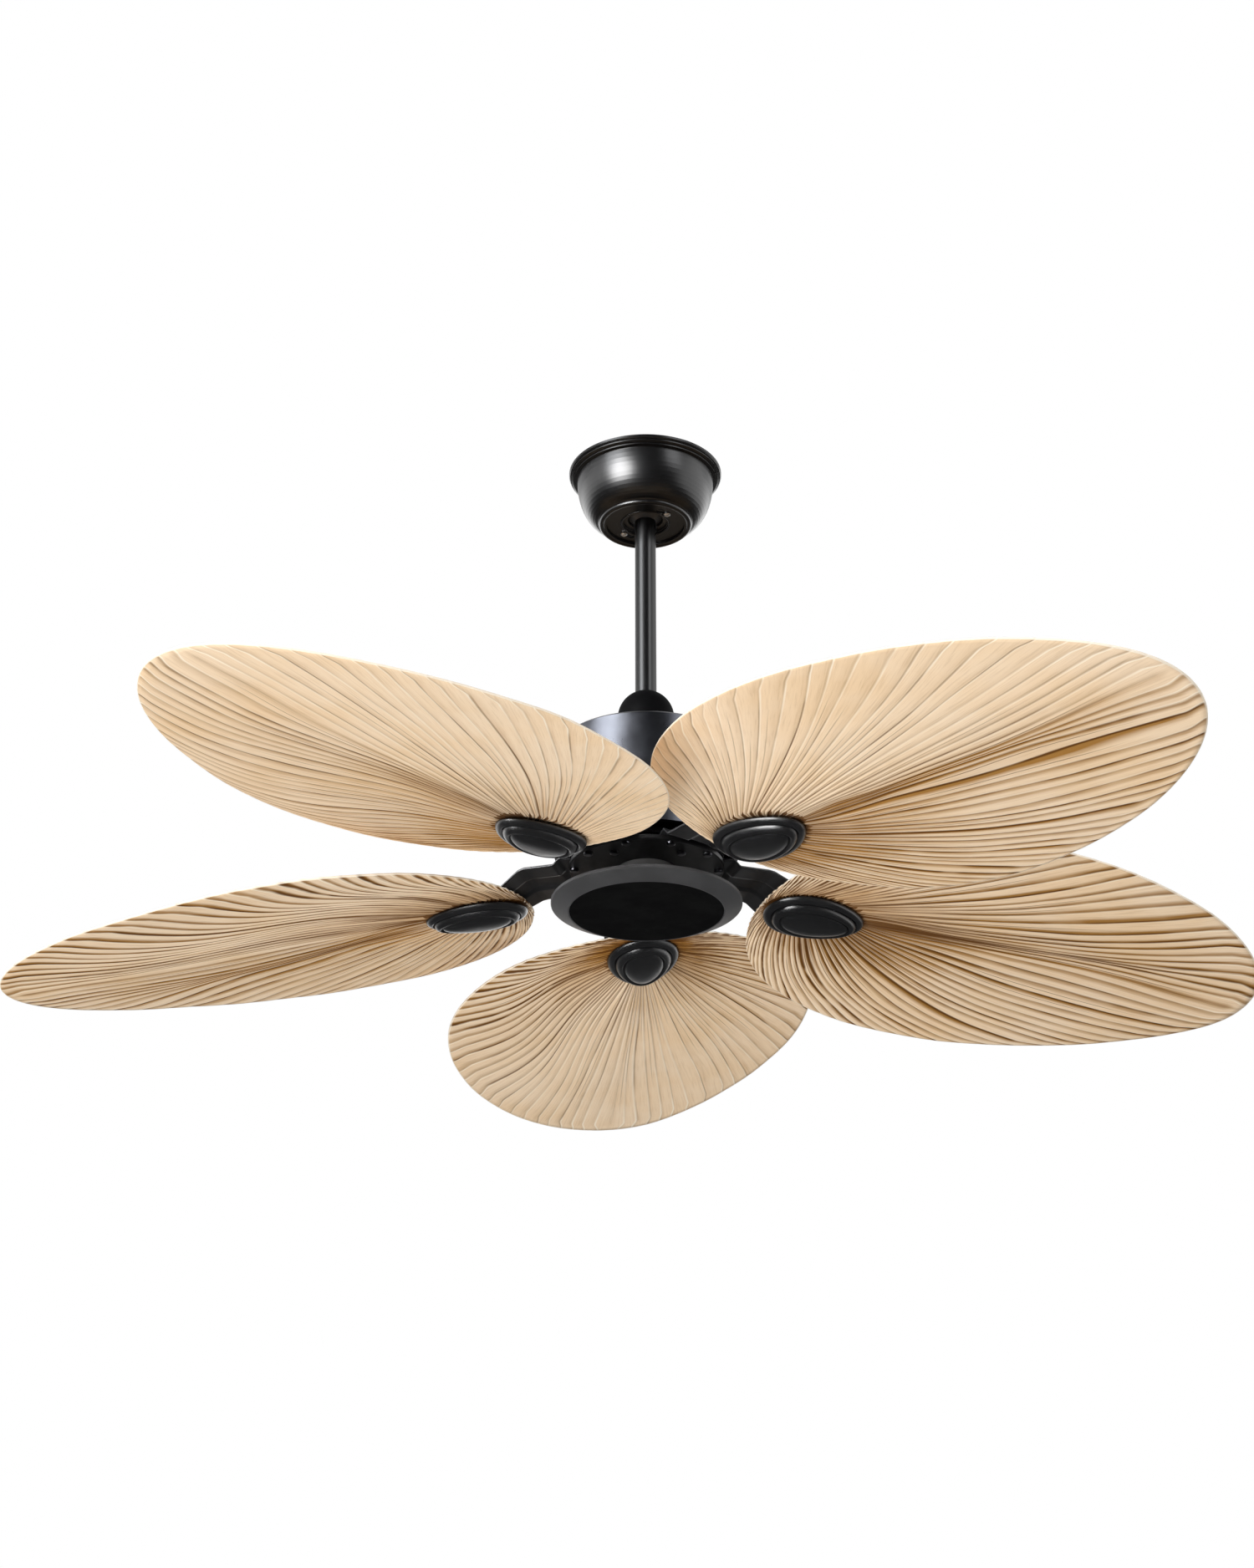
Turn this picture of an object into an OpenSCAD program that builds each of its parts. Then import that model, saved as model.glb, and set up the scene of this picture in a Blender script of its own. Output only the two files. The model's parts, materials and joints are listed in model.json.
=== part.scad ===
// Five-blade palm leaf ceiling fan on a short down rod.
// Origin: fan axis at the ceiling plane, +Z up, so the whole fan hangs below zero.
// Blade 1 points to +Y and the others follow anticlockwise, seen from above.

/* [Ceiling canopy] */
// Largest radius of the canopy, at its rim
canopy_r = 78.5; // [70:0.5:90]
// Depth of the canopy bowl below the ceiling
canopy_h = 58; // [50:1:70]
// Radius of the bowl just below the rim beads
bowl_r = 70; // [62:0.5:80]
// Radius of the flat bottom of the canopy
canopy_floor_r = 47.5; // [42:0.5:55]
// Sheet thickness of the canopy
canopy_wall = 1.2; // [0.8:0.1:2]
// Radius of the hole that the down rod hangs through
canopy_hole_r = 23.5; // [20:0.5:28]

/* [Hanger] */
// Thickness of the pressed bracket
bracket_t = 2.5; // [1.5:0.1:4]
// Length of the bracket's top plate
bracket_l = 116; // [104:1:124]
// Width of the bracket's top plate
bracket_w = 42; // [34:1:50]
// Hole spacing of the ceiling outlet box
box_screw_gap = 88.9; // [80:0.1:92]
// Width of the slots for the outlet box screws
box_slot_w = 5.4; // [4.5:0.1:6]
// Length of those slots, end to end
box_slot_l = 12; // [8:1:14]
// Radius of the hanger ball
ball_r = 24; // [20:0.5:26]
// Depth of the ball's centre below the ceiling
ball_drop = 35; // [30:0.5:40]
// Free space between the ball and its cup
ball_gap = 0.3; // [0.1:0.05:0.5]

/* [Down rod] */
// Outer radius of the rod
rod_r = 10.65; // [9:0.05:14]
// Wall of the rod
rod_wall = 2.15; // [1.5:0.05:3]
// Length of the rod
rod_l = 285; // [150:1:900]
// Height of the rod's top end above the ball's centre
rod_above_ball = 21; // [16:0.5:24]

/* [Motor housing] */
// Outer radius of the motor housing
housing_r = 89; // [84:1:110]
// Height of the motor housing
housing_h = 114; // [100:1:140]
// Sheet thickness of the housing
housing_wall = 1.5; // [1:0.1:2.5]
// Radius of the dome over the rod coupling
dome_r = 28; // [26:0.5:34]
// Height of that dome
dome_h = 61; // [56:1:75]

/* [Motor] */
// Radius of the fixed hollow shaft
shaft_r = 8; // [7:0.1:9]
// Bore of the shaft for the wires
shaft_bore_r = 4; // [3.5:0.1:5]
// Outer radius of the stator
stator_r = 52; // [46:0.5:54]
// Height of the stator stack
stator_h = 32; // [20:1:34]
// Air gap between stator and rotor
air_gap = 0.5; // [0.3:0.1:1]
// Number of stator slots
slot_count = 12; // [8:1:18]
// Outer radius of the ball bearings
bearing_r = 17.5; // [16:0.5:19]
// Width of the ball bearings
bearing_w = 7; // [6:0.5:8]

/* [Blade hub] */
// Radius of the ring below the blade arms
ring_r = 75; // [72:0.5:80]
// Thickness of that ring
ring_t = 5; // [3:0.5:8]
// Thickness of the pressed arms
arm_t = 2.5; // [2:0.1:4]
// Width of an arm
arm_w = 78; // [60:1:82]
// Distance that an arm drops from the hub to its level stretch
arm_step = 6.5; // [3:0.5:9]
// Height of the pressed channel along an arm
arm_channel = 2.2; // [0:0.1:3]

/* [Blades] */
// Number of blades
blades = 5; // [5:1:5]
// Length of a leaf
leaf_l = 541; // [450:1:600]
// Largest width of a leaf, before its egg shape
leaf_w = 382; // [300:1:400]
// How much fuller the leaf is towards its root
leaf_egg = 0.19; // [0:0.01:0.3]
// Thickness of a leaf
leaf_t = 1.6; // [1:0.1:2.5]
// Depth of the pleats beside the medallion
pleat_depth = 4; // [1:0.1:5]
// Number of pleats round a leaf
pleat_count = 48; // [24:1:48]
// Distance of a medallion's centre from the fan axis
medallion_u = 174; // [165:1:190]
// Distance of the leaf's root from the fan axis
leaf_root_u = 119; // [112:1:122]
// Pitch of the blades, left edge low
blade_pitch = 7.3; // [4:0.1:14]
// Droop of the blades towards their tips
blade_droop = 3; // [0:0.1:5]
// Turn of each leaf on its arm
leaf_turn = 2.2; // [-3:0.1:3]
// Turn of the whole blade set about the fan axis
blade_turn = 1.2; // [0:0.1:72]

/* [Medallions] */
// Length of a medallion
medallion_l = 100; // [90:1:116]
// Width of a medallion
medallion_w = 72; // [64:1:84]
// Depth of a medallion's dome
medallion_h = 15; // [10:0.5:22]

/* [Bottom cover] */
// Outer radius of the bottom cover
cover_r = 92; // [86:1:110]
// Radius of the flat cap in its middle
cap_r = 74; // [60:1:80]
// Drop of the cover's bevel
cover_bevel = 7; // [3:0.5:12]
// Height of the cover's upright wall
cover_wall_h = 3.5; // [3.5:0.5:14]
// Radius of the neck between motor and cover
neck_r = 26.5; // [24:0.5:28]
// Height of that neck
neck_h = 39; // [30:0.5:45]

/* [Hidden] */
$fn = 96;

// clearances
fit_gap = 0.05;    // round pieces that seat in one another
seat_gap = 0.1;    // flat pieces that rest on one another
hole_gap = 0.2;    // a screw in its clearance hole
over = 1;          // how far a cut runs past a face

// hanger, rod and pins
ball_z = -ball_drop;
ball_top = 15;               // flat top of the ball above its centre
ball_pin_z = ball_z + 11;
pin_r = 3;
ball_pin_l = 38;
rod_top_z = ball_z + rod_above_ball;
rod_bottom_z = rod_top_z - rod_l;
rod_bore_r = rod_r - rod_wall;
ball_slot_w = 6.4;           // registration slot down the ball's side
ball_slot_d = 5;
tab_w = 4;                   // bracket tab in that slot
tab_h = 6;
cup_hole_r = 18;             // hole under the ball
wire_hole_r = 13;            // hole in the top plate for the house wires
cup_r = 29.5;
cup_top_z = ball_z - 7;
cup_bottom_z = ball_z - 16;
bracket_leg_x = 33;          // inner face of the bracket's legs
bracket_floor_z = -canopy_h + canopy_wall + seat_gap;
keyhole_r = 29.5;            // canopy screws, from the fan axis
keyhole_az = -42;
canopy_screw_r = 2;
canopy_head_r = 3.6;
canopy_head_h = 2.2;

// coupling
coupler_r = 15;
rod_seat = 17;               // rod's end above the housing's top
rod_socket_h = 30;
coupler_top = rod_seat + rod_socket_h;
shaft_in_coupler = 13;
clevis_z = 18;               // clevis pin above the rod's end
set_screw_z = 8;
set_screw_r = 2.5;
clevis_l = 42;
housing_top_z = rod_bottom_z - rod_seat;
housing_bottom_z = housing_top_z - housing_h;
dome_wall = 1.2;
dome_hole_r = rod_r + 0.9;

// motor, measured down from the housing's top
bell_bottom_z = housing_top_z - 121;
bell_r = ring_r;
bell_floor = 5;
rotor_ring_t = 6.5;
rotor_ring_r = stator_r + air_gap + rotor_ring_t;
bell_wall_r = rotor_ring_r + 8;
bell_h = 70;
bell_top_z = bell_bottom_z + bell_h;
bell_split_z = bell_bottom_z + 38;
stator_mid_z = bell_bottom_z + 38;
bearing_ball_r = 2.4;
bearing_ball_count = 7;
bearing_mid_r = (shaft_r + bearing_r) / 2;
bearing_ring_t = 2.6;
seat_wall = 4;
winding_h = 8;
winding_in_r = 25;
winding_out_r = stator_r - 7;
slot_w = 9;
hanger_boss_r = 27;
hanger_boss_h = 10;
housing_screw_r = 2;
housing_screw_pcr = 21.5;
housing_screw_head_r = 3.6;

// blade hub
ring_top_z = bell_bottom_z - arm_t;
ring_bottom_z = ring_top_z - ring_t;
ring_hole_r = neck_r + 2.5;
arm_screw_r = 2.4;
arm_screw_head_r = 4.4;
arm_screw_head_h = 2.6;
arm_screw_at = [[54, 0], [66, 22], [66, -22]];
arm_low_z = ring_top_z - arm_step;

// leaves, in a frame whose origin is over the medallion's centre
leaf_top_z = ring_top_z - 25;           // crests of the pleats, at that centre
leaf_a = leaf_l / 2;
leaf_b = leaf_w / 2;
leaf_mid = leaf_root_u - medallion_u + leaf_a;
open_a = 26;                            // oval hole that the leaf screws pass through
open_b = 13;
clamp_a = 40;                           // flat oval that the medallion's boss clamps
clamp_b = 24;
medallion_egg = 0.1;
leaf_screw_r = 2;
leaf_screw_head_r = 4;
leaf_screw_head_h = 2.2;
leaf_screw_x = [-17, 0, 17];
boss_l = 34;                            // half length of the medallion's boss
boss_r = 16;
leaf_gap = 0.4;                         // space between the pleats and the medallion's rim
boss_h = pleat_depth + leaf_gap - seat_gap;

// bottom cover
neck_top_z = bell_bottom_z - 1.5;
neck_bottom_z = neck_top_z - neck_h;
neck_wall = 1.8;
neck_floor_t = 3;
cover_sheet = 1.5;
cover_plate_t = 2;
rim_z = neck_bottom_z - cover_wall_h;
cover_screw_pcr = 20;
cover_screw_r = 1.8;
shaft_bottom_z = neck_top_z - 11.5;
nut_af = 24;
nut_h = 6;
wire_r = 1.1;

steel_black = [0.06, 0.06, 0.065];
charcoal = [0.13, 0.13, 0.14];
leaf_tan = [0.86, 0.74, 0.58];
zinc = [0.72, 0.73, 0.75];
aluminium = [0.62, 0.63, 0.65];
copper = [0.72, 0.4, 0.2];

// ---------- shared shapes ----------

function arc(r, z, a, b, from, to, n) =
    [for (i = [0:n]) let (t = from + (to - from) * i / n) [r + a * cos(t), z + b * sin(t)]];

function lerp(p, q, f) = p + (q - p) * f;

function egg(a, b, k, t) = [a * cos(t), b * sin(t) * (1 - k * cos(t))];

module tube(r, bore, h, z) {
    translate([0, 0, z]) difference() {
        cylinder(r = r, h = h);
        translate([0, 0, -over]) cylinder(r = bore, h = h + 2 * over);
    }
}

// round shank along -Z with a pan head on top of z = 0
module screw(r, l, head_r, head_h) {
    translate([0, 0, -l]) cylinder(r = r, h = l + head_h / 2, $fn = 32);
    cylinder(r = head_r, h = head_h * 0.6, $fn = 32);
    translate([0, 0, head_h * 0.6]) cylinder(r1 = head_r, r2 = head_r * 0.7, h = head_h * 0.4, $fn = 32);
}

// turns a shape to blade number i, so that +X points along the arm
module at_blade(i) {
    rotate([0, 0, 90 + blade_turn + (i - 1) * 360 / blades]) children();
}

// from the arm's frame to the plane of the leaf's crests
module leaf_plane() {
    translate([medallion_u, 0, leaf_top_z]) rotate([-blade_pitch, blade_droop, 0]) children();
}

// ---------- ceiling mount ----------

module bracket_slot(x) {
    translate([x, 0, -bracket_t - over]) {
        for (s = [-1, 1]) translate([s * (box_slot_l - box_slot_w) / 2, 0, 0])
            cylinder(d = box_slot_w, h = bracket_t + 2 * over);
        translate([-(box_slot_l - box_slot_w) / 2, -box_slot_w / 2, 0])
            cube([box_slot_l - box_slot_w, box_slot_w, bracket_t + 2 * over]);
    }
}

module hanger_bracket() {
    leg_h = -bracket_floor_z;
    leg_w = 24;
    floor_w = 44;
    color(zinc) difference() {
        union() {
            translate([-bracket_l / 2, -bracket_w / 2, -bracket_t])
                cube([bracket_l, bracket_w, bracket_t]);
            for (s = [0, 1]) mirror([s, 0, 0]) {
                translate([bracket_leg_x, -leg_w / 2, -leg_h]) cube([bracket_t, leg_w, leg_h]);
                // tongue of the cup that carries the registration tab
                if (s == 1) translate([ball_r + 1.2, -tab_w / 2 - 2, cup_bottom_z])
                    cube([3.5, tab_w + 4, ball_z + tab_h / 2 - cup_bottom_z]);
            }
            translate([-bracket_leg_x - bracket_t, -floor_w / 2, bracket_floor_z])
                cube([2 * (bracket_leg_x + bracket_t), floor_w, bracket_t]);
            translate([0, 0, bracket_floor_z]) cylinder(r = cup_r, h = cup_top_z - bracket_floor_z);
            translate([-ball_r - 3, -tab_w / 2, ball_z - tab_h / 2])
                cube([ball_slot_d + 1, tab_w, tab_h]);
        }
        // seat of the ball, with the tab left standing in it
        difference() {
            translate([0, 0, ball_z]) sphere(r = ball_r + ball_gap);
            translate([-ball_r - 3, -tab_w / 2, ball_z - tab_h / 2])
                cube([ball_slot_d + 1, tab_w, tab_h]);
        }
        translate([0, 0, bracket_floor_z - over]) cylinder(r = cup_hole_r, h = -ball_drop - bracket_floor_z);
        translate([0, 0, -bracket_t - over]) cylinder(r = wire_hole_r, h = bracket_t + 2 * over);
        translate([0, 0, bracket_floor_z - over]) cylinder(r = canopy_hole_r - 1, h = bracket_t + over);
        // side opening that lets the rod in
        translate([-rod_r - 1, 0, bracket_floor_z - over])
            cube([2 * rod_r + 2, cup_r + over, cup_top_z - bracket_floor_z + 2 * over]);
        for (s = [-1, 1]) bracket_slot(s * box_screw_gap / 2);
        for (a = [0, 180]) rotate([0, 0, keyhole_az + a]) translate([keyhole_r, 0, bracket_floor_z - over])
            cylinder(r = canopy_screw_r + fit_gap, h = bracket_t + 2 * over, $fn = 32);
    }
}

// outside of the canopy, rim to floor; t takes the sheet thickness off
function canopy_line(t) = concat(
    [[canopy_r - t, 0], [canopy_r - t, -2.4], [canopy_r - 1 - t, -3.6], [canopy_r - 2 - t, -3.8],
     [canopy_r - 2 - t, -5.2], [canopy_r - 4 - t, -6.4], [canopy_r - 5 - t, -6.6],
     [canopy_r - 5 - t, -8], [bowl_r - t, -9]],
    arc(canopy_floor_r - 3.5, -9, bowl_r - canopy_floor_r + 3.5 - t, canopy_h - 10 - t, -6, -80, 12),
    [[canopy_floor_r - 1, -canopy_h + t]]);

module canopy() {
    outer = canopy_line(0);
    inner = canopy_line(canopy_wall);
    lip = 2.2;
    color(steel_black) difference() {
        union() {
            rotate_extrude() polygon(concat(outer,
                [[canopy_hole_r, -canopy_h], [canopy_hole_r, -canopy_h + canopy_wall]],
                [for (i = [len(inner) - 1:-1:0]) inner[i]]));
            // rolled lip round the hole
            translate([0, 0, -canopy_h]) rotate_extrude()
                translate([canopy_hole_r + lip / 2, 0]) circle(d = lip, $fn = 24);
        }
        // keyholes: a round entry and a narrow end that holds the screw
        for (a = [0, 180]) rotate([0, 0, keyhole_az + a]) {
            translate([keyhole_r, 0, -canopy_h - over])
                cylinder(r = canopy_screw_r + hole_gap, h = canopy_wall + 2 * over, $fn = 32);
            rotate([0, 0, -18]) translate([keyhole_r, 0, -canopy_h - over])
                cylinder(r = canopy_head_r + hole_gap, h = canopy_wall + 2 * over, $fn = 32);
            rotate([0, 0, -9]) translate([keyhole_r, 0, -canopy_h])
                cube([2 * canopy_screw_r + 2 * hole_gap, 9, 2 * canopy_wall + 2 * over], center = true);
        }
    }
}

module canopy_trim_ring() {
    bead = 3;
    color(steel_black) difference() {
        translate([0, 0, -canopy_h - seat_gap]) rotate_extrude() difference() {
            union() {
                translate([canopy_floor_r - bead, -0.4]) circle(r = bead, $fn = 32);
                translate([canopy_floor_r - bead - 4.5, -2.4]) square([5, 2.4]);
            }
            translate([0, 0]) square([canopy_floor_r + bead, 2 * bead]);
        }
    }
}

module canopy_screws() {
    color(zinc) for (a = [0, 180]) rotate([0, 0, keyhole_az + a])
        translate([keyhole_r, 0, -canopy_h - seat_gap]) rotate([180, 0, 0]) difference() {
            screw(canopy_screw_r, canopy_wall + bracket_t + 1, canopy_head_r, canopy_head_h);
            translate([-canopy_head_r, -0.5, canopy_head_h - 0.8]) cube([2 * canopy_head_r, 1, 2]);
        }
}

// ---------- ball, rod and coupling ----------

module hanger_ball() {
    color(charcoal) difference() {
        translate([0, 0, ball_z]) sphere(r = ball_r);
        translate([0, 0, ball_z + ball_top]) cylinder(r = ball_r, h = ball_r);
        translate([0, 0, ball_z - ball_r - over]) cylinder(r = rod_r + fit_gap, h = 2 * ball_r + 2 * over);
        translate([-ball_r - over, -ball_slot_w / 2, ball_z - ball_r])
            cube([ball_slot_d + over, ball_slot_w, 2 * ball_r]);
        translate([0, 0, ball_pin_z]) rotate([90, 0, 0])
            cylinder(r = pin_r + fit_gap, h = 2 * ball_r + 2 * over, center = true, $fn = 48);
    }
}

module ball_pin() {
    color(zinc) translate([0, 0, ball_pin_z]) rotate([90, 0, 0])
        cylinder(r = pin_r, h = ball_pin_l, center = true, $fn = 48);
}

module downrod() {
    color(steel_black) difference() {
        tube(rod_r, rod_bore_r, rod_l, rod_bottom_z);
        translate([0, 0, ball_pin_z]) rotate([90, 0, 0])
            cylinder(r = pin_r + fit_gap, h = 2 * rod_r + 2 * over, center = true, $fn = 48);
        translate([0, 0, rod_bottom_z + clevis_z]) rotate([0, 90, 0])
            cylinder(r = pin_r + fit_gap, h = 2 * rod_r + 2 * over, center = true, $fn = 48);
    }
}

module coupling_cover() {
    straight = dome_h - sqrt(pow(dome_r, 2) - pow(dome_hole_r, 2));
    color(charcoal) translate([0, 0, housing_top_z + seat_gap]) rotate_extrude() polygon(concat(
        [[dome_r - dome_wall, 0], [dome_r + 2, 0], [dome_r + 2, dome_wall], [dome_r, 2 * dome_wall]],
        arc(0, straight, dome_r, dome_r, 0, acos(dome_hole_r / dome_r), 18),
        [for (p = arc(0, straight, dome_r - dome_wall, dome_r - dome_wall,
            acos(dome_hole_r / (dome_r - dome_wall)), 0, 18)) p]));
}

module rod_coupler() {
    color(zinc) translate([0, 0, housing_top_z + seat_gap]) difference() {
        union() {
            cylinder(r = coupler_r, h = coupler_top - seat_gap);
            cylinder(r = coupler_r + 2, h = 4);
        }
        translate([0, 0, -over]) cylinder(r = shaft_r + fit_gap, h = shaft_in_coupler + over);
        translate([0, 0, -over]) cylinder(r = shaft_bore_r, h = coupler_top);
        translate([0, 0, rod_seat - 2 * seat_gap]) cylinder(r = rod_r + fit_gap, h = rod_socket_h + over);
        translate([0, 0, rod_seat + clevis_z - seat_gap]) rotate([0, 90, 0])
            cylinder(r = pin_r + fit_gap, h = 2 * coupler_r + 2 * over, center = true, $fn = 48);
        translate([0, 0, rod_seat + set_screw_z - seat_gap]) rotate([90, 0, 0])
            cylinder(r = set_screw_r + fit_gap, h = 2 * coupler_r + 2 * over, center = true, $fn = 32);
    }
}

module clevis_pin() {
    hole_x = clevis_l / 2 - 2.6;
    color(zinc) translate([0, 0, rod_bottom_z + clevis_z]) difference() {
        rotate([0, 90, 0]) union() {
            cylinder(r = pin_r, h = clevis_l, center = true, $fn = 48);
            translate([0, 0, -clevis_l / 2 - 2]) cylinder(r = pin_r + 1.8, h = 2.5, $fn = 48);
        }
        translate([hole_x, 0, 0]) rotate([90, 0, 0]) cylinder(r = 1, h = 4 * pin_r, center = true, $fn = 24);
    }
}

module cotter_pin() {
    hole_x = clevis_l / 2 - 2.6;
    color(zinc) translate([hole_x, 0, rod_bottom_z + clevis_z]) {
        rotate([90, 0, 0]) cylinder(r = 0.9, h = 13, center = true, $fn = 24);
        translate([0, -8.4, 0]) rotate([0, 90, 0]) rotate_extrude()
            translate([2.4, 0]) circle(r = 0.9, $fn = 24);
    }
}

module coupler_set_screws() {
    color(steel_black) for (s = [-1, 1])
        translate([0, s * (rod_r + seat_gap), rod_bottom_z + set_screw_z]) rotate([-90 * s, 0, 0])
            difference() {
                cylinder(r = set_screw_r, h = coupler_r - rod_r + 2, $fn = 32);
                translate([0, 0, coupler_r - rod_r]) cylinder(r = 1.4, h = 3, $fn = 6);
            }
}

// ---------- fixed half of the motor ----------

module motor_shaft() {
    top_z = housing_top_z + shaft_in_coupler;
    color(zinc) tube(shaft_r, shaft_bore_r, top_z - shaft_bottom_z, shaft_bottom_z);
}

module housing_hanger() {
    color(aluminium) translate([0, 0, housing_top_z - housing_wall - seat_gap - hanger_boss_h])
        difference() {
            union() {
                cylinder(r = hanger_boss_r, h = hanger_boss_h);
                translate([0, 0, -6]) cylinder(r = shaft_r + 5, h = 7);
            }
            translate([0, 0, -8]) cylinder(r = shaft_r + fit_gap, h = hanger_boss_h + 10);
            for (i = [0:3]) rotate([0, 0, 45 + 90 * i]) translate([housing_screw_pcr, 0, hanger_boss_h - 8])
                cylinder(r = housing_screw_r + fit_gap, h = 10, $fn = 32);
        }
}

module motor_housing() {
    edge = 2;
    lip = 5;
    t = housing_wall;
    h = housing_h;
    color(steel_black) translate([0, 0, housing_bottom_z]) difference() {
        rotate_extrude() polygon([
            [0, h], [housing_r - edge, h], [housing_r, h - edge], [housing_r, 0],
            [housing_r - lip, 0], [housing_r - lip, t], [housing_r - t, t],
            [housing_r - t, h - edge - t / 2], [housing_r - edge - t / 2, h - t], [0, h - t]]);
        translate([0, 0, h - 2 * t]) cylinder(r = shaft_r + hole_gap, h = 4 * t);
        for (i = [0:3]) rotate([0, 0, 45 + 90 * i]) translate([housing_screw_pcr, 0, h - 2 * t])
            cylinder(r = housing_screw_r + hole_gap, h = 4 * t, $fn = 32);
    }
}

module housing_screws() {
    color(zinc) for (i = [0:3]) rotate([0, 0, 45 + 90 * i])
        translate([housing_screw_pcr, 0, housing_top_z + seat_gap])
            screw(housing_screw_r, housing_wall + 6, housing_screw_head_r, 2.4);
}

module stator_core() {
    color(aluminium) translate([0, 0, stator_mid_z - stator_h / 2]) difference() {
        cylinder(r = stator_r, h = stator_h);
        translate([0, 0, -over]) cylinder(r = shaft_r + fit_gap, h = stator_h + 2 * over);
        for (i = [0:slot_count - 1]) rotate([0, 0, i * 360 / slot_count]) {
            translate([winding_in_r - 1, -slot_w / 2, -over])
                cube([winding_out_r - winding_in_r + 1, slot_w, stator_h + 2 * over]);
            translate([winding_out_r - over, -1.25, -over])
                cube([stator_r, 2.5, stator_h + 2 * over]);
        }
    }
}

module stator_winding() {
    bar_w = slot_w - 1;
    color(copper) translate([0, 0, stator_mid_z]) {
        for (s = [0, 1]) mirror([0, 0, s]) translate([0, 0, stator_h / 2 + 0.5]) rotate_extrude()
            polygon([[winding_in_r, 0], [winding_out_r - 0.5, 0], [winding_out_r - 0.5, winding_h - 3],
                [winding_out_r - 3.5, winding_h], [winding_in_r + 3, winding_h],
                [winding_in_r, winding_h - 3]]);
        for (i = [0:slot_count - 1]) rotate([0, 0, i * 360 / slot_count])
            translate([winding_in_r + 0.5, -bar_w / 2, -stator_h / 2 - 1])
                cube([winding_out_r - winding_in_r - 1.5, bar_w, stator_h + 2]);
    }
}

function bearing_z(k) = k == 0 ? bell_bottom_z + bell_floor : bell_top_z - bell_floor - bearing_w;

// groove that the balls run in
module ball_track(gap) {
    translate([0, 0, bearing_w / 2]) rotate_extrude()
        translate([bearing_mid_r, 0]) circle(r = bearing_ball_r + gap, $fn = 32);
}

module bearing_inner_rings() {
    color(zinc) for (k = [0, 1]) translate([0, 0, bearing_z(k)]) difference() {
        tube(shaft_r + bearing_ring_t + fit_gap, shaft_r + fit_gap, bearing_w, 0);
        ball_track(0.3);
    }
}

// ---------- neck and bottom cover ----------

module neck_housing() {
    flange_in_r = 15;
    flange_t = 2.2;
    color(charcoal) translate([0, 0, neck_bottom_z]) difference() {
        rotate_extrude() polygon([
            [shaft_r + fit_gap, neck_h], [neck_r, neck_h], [neck_r, 0], [flange_in_r, 0],
            [flange_in_r, flange_t], [neck_r - neck_wall, flange_t],
            [neck_r - neck_wall, neck_h - neck_floor_t], [shaft_r + fit_gap, neck_h - neck_floor_t]]);
        for (i = [0:2]) rotate([0, 0, 30 + 120 * i]) translate([cover_screw_pcr, 0, -over])
            cylinder(r = cover_screw_r + fit_gap, h = flange_t + 2 * over, $fn = 32);
    }
}

module shaft_nut() {
    color(zinc) translate([0, 0, neck_top_z - neck_floor_t - seat_gap - nut_h]) difference() {
        cylinder(r = nut_af / 2 / cos(30), h = nut_h, $fn = 6);
        translate([0, 0, -over]) cylinder(r = shaft_r + fit_gap, h = nut_h + 2 * over);
    }
}

module capacitor() {
    size = [29, 18, 14];
    color(charcoal) translate([-size[0] / 2, -size[1] / 2, neck_bottom_z + 2.2 + seat_gap]) cube(size);
}

module cover_plate() {
    color(steel_black) translate([0, 0, neck_bottom_z - seat_gap - cover_plate_t]) difference() {
        cylinder(r = cover_r - cover_sheet - hole_gap, h = cover_plate_t);
        translate([0, 0, -over]) cylinder(r = 12, h = cover_plate_t + 2 * over);
        for (i = [0:2]) rotate([0, 0, 30 + 120 * i]) translate([cover_screw_pcr, 0, -over])
            cylinder(r = cover_screw_r + hole_gap, h = cover_plate_t + 2 * over, $fn = 32);
    }
}

module cover_screws() {
    color(zinc) for (i = [0:2]) rotate([0, 0, 30 + 120 * i])
        translate([cover_screw_pcr, 0, neck_bottom_z - cover_plate_t - 2 * seat_gap]) rotate([180, 0, 0])
            screw(cover_screw_r, cover_plate_t + 3, 3.2, 2);
}

module cover_ring() {
    t = cover_sheet;
    ledge_z = cover_wall_h - cover_plate_t - 2 * seat_gap;
    edge_r = cap_r + 0.3;
    fall = (cover_bevel - 0.5) / (cover_r - t - edge_r - 1);
    color(charcoal) translate([0, 0, rim_z]) rotate_extrude() polygon([
        [cover_r, 0.8], [cover_r, cover_wall_h], [cover_r - t, cover_wall_h], [cover_r - t, ledge_z],
        [cover_r - 5, ledge_z], [cover_r - 5, t - (5 - t) * fall],
        [edge_r + 1, t - cover_bevel + 0.5], [edge_r, t - cover_bevel],
        [edge_r, -cover_bevel], [edge_r + 1.2, -cover_bevel], [cover_r - 0.8, 0]]);
}

module cover_cap() {
    t = cover_sheet;
    face = -cover_bevel;
    color(steel_black) translate([0, 0, rim_z]) rotate_extrude() polygon([
        [0, face], [cap_r, face], [cap_r, face + t + 0.9], [cap_r + 2.2, face + t + 1.9],
        [cap_r + 2.2, face + t + 2.9], [cap_r - 1.5, face + t + 2.4], [cap_r - 1.5, face + t], [0, face + t]]);
}

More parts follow.
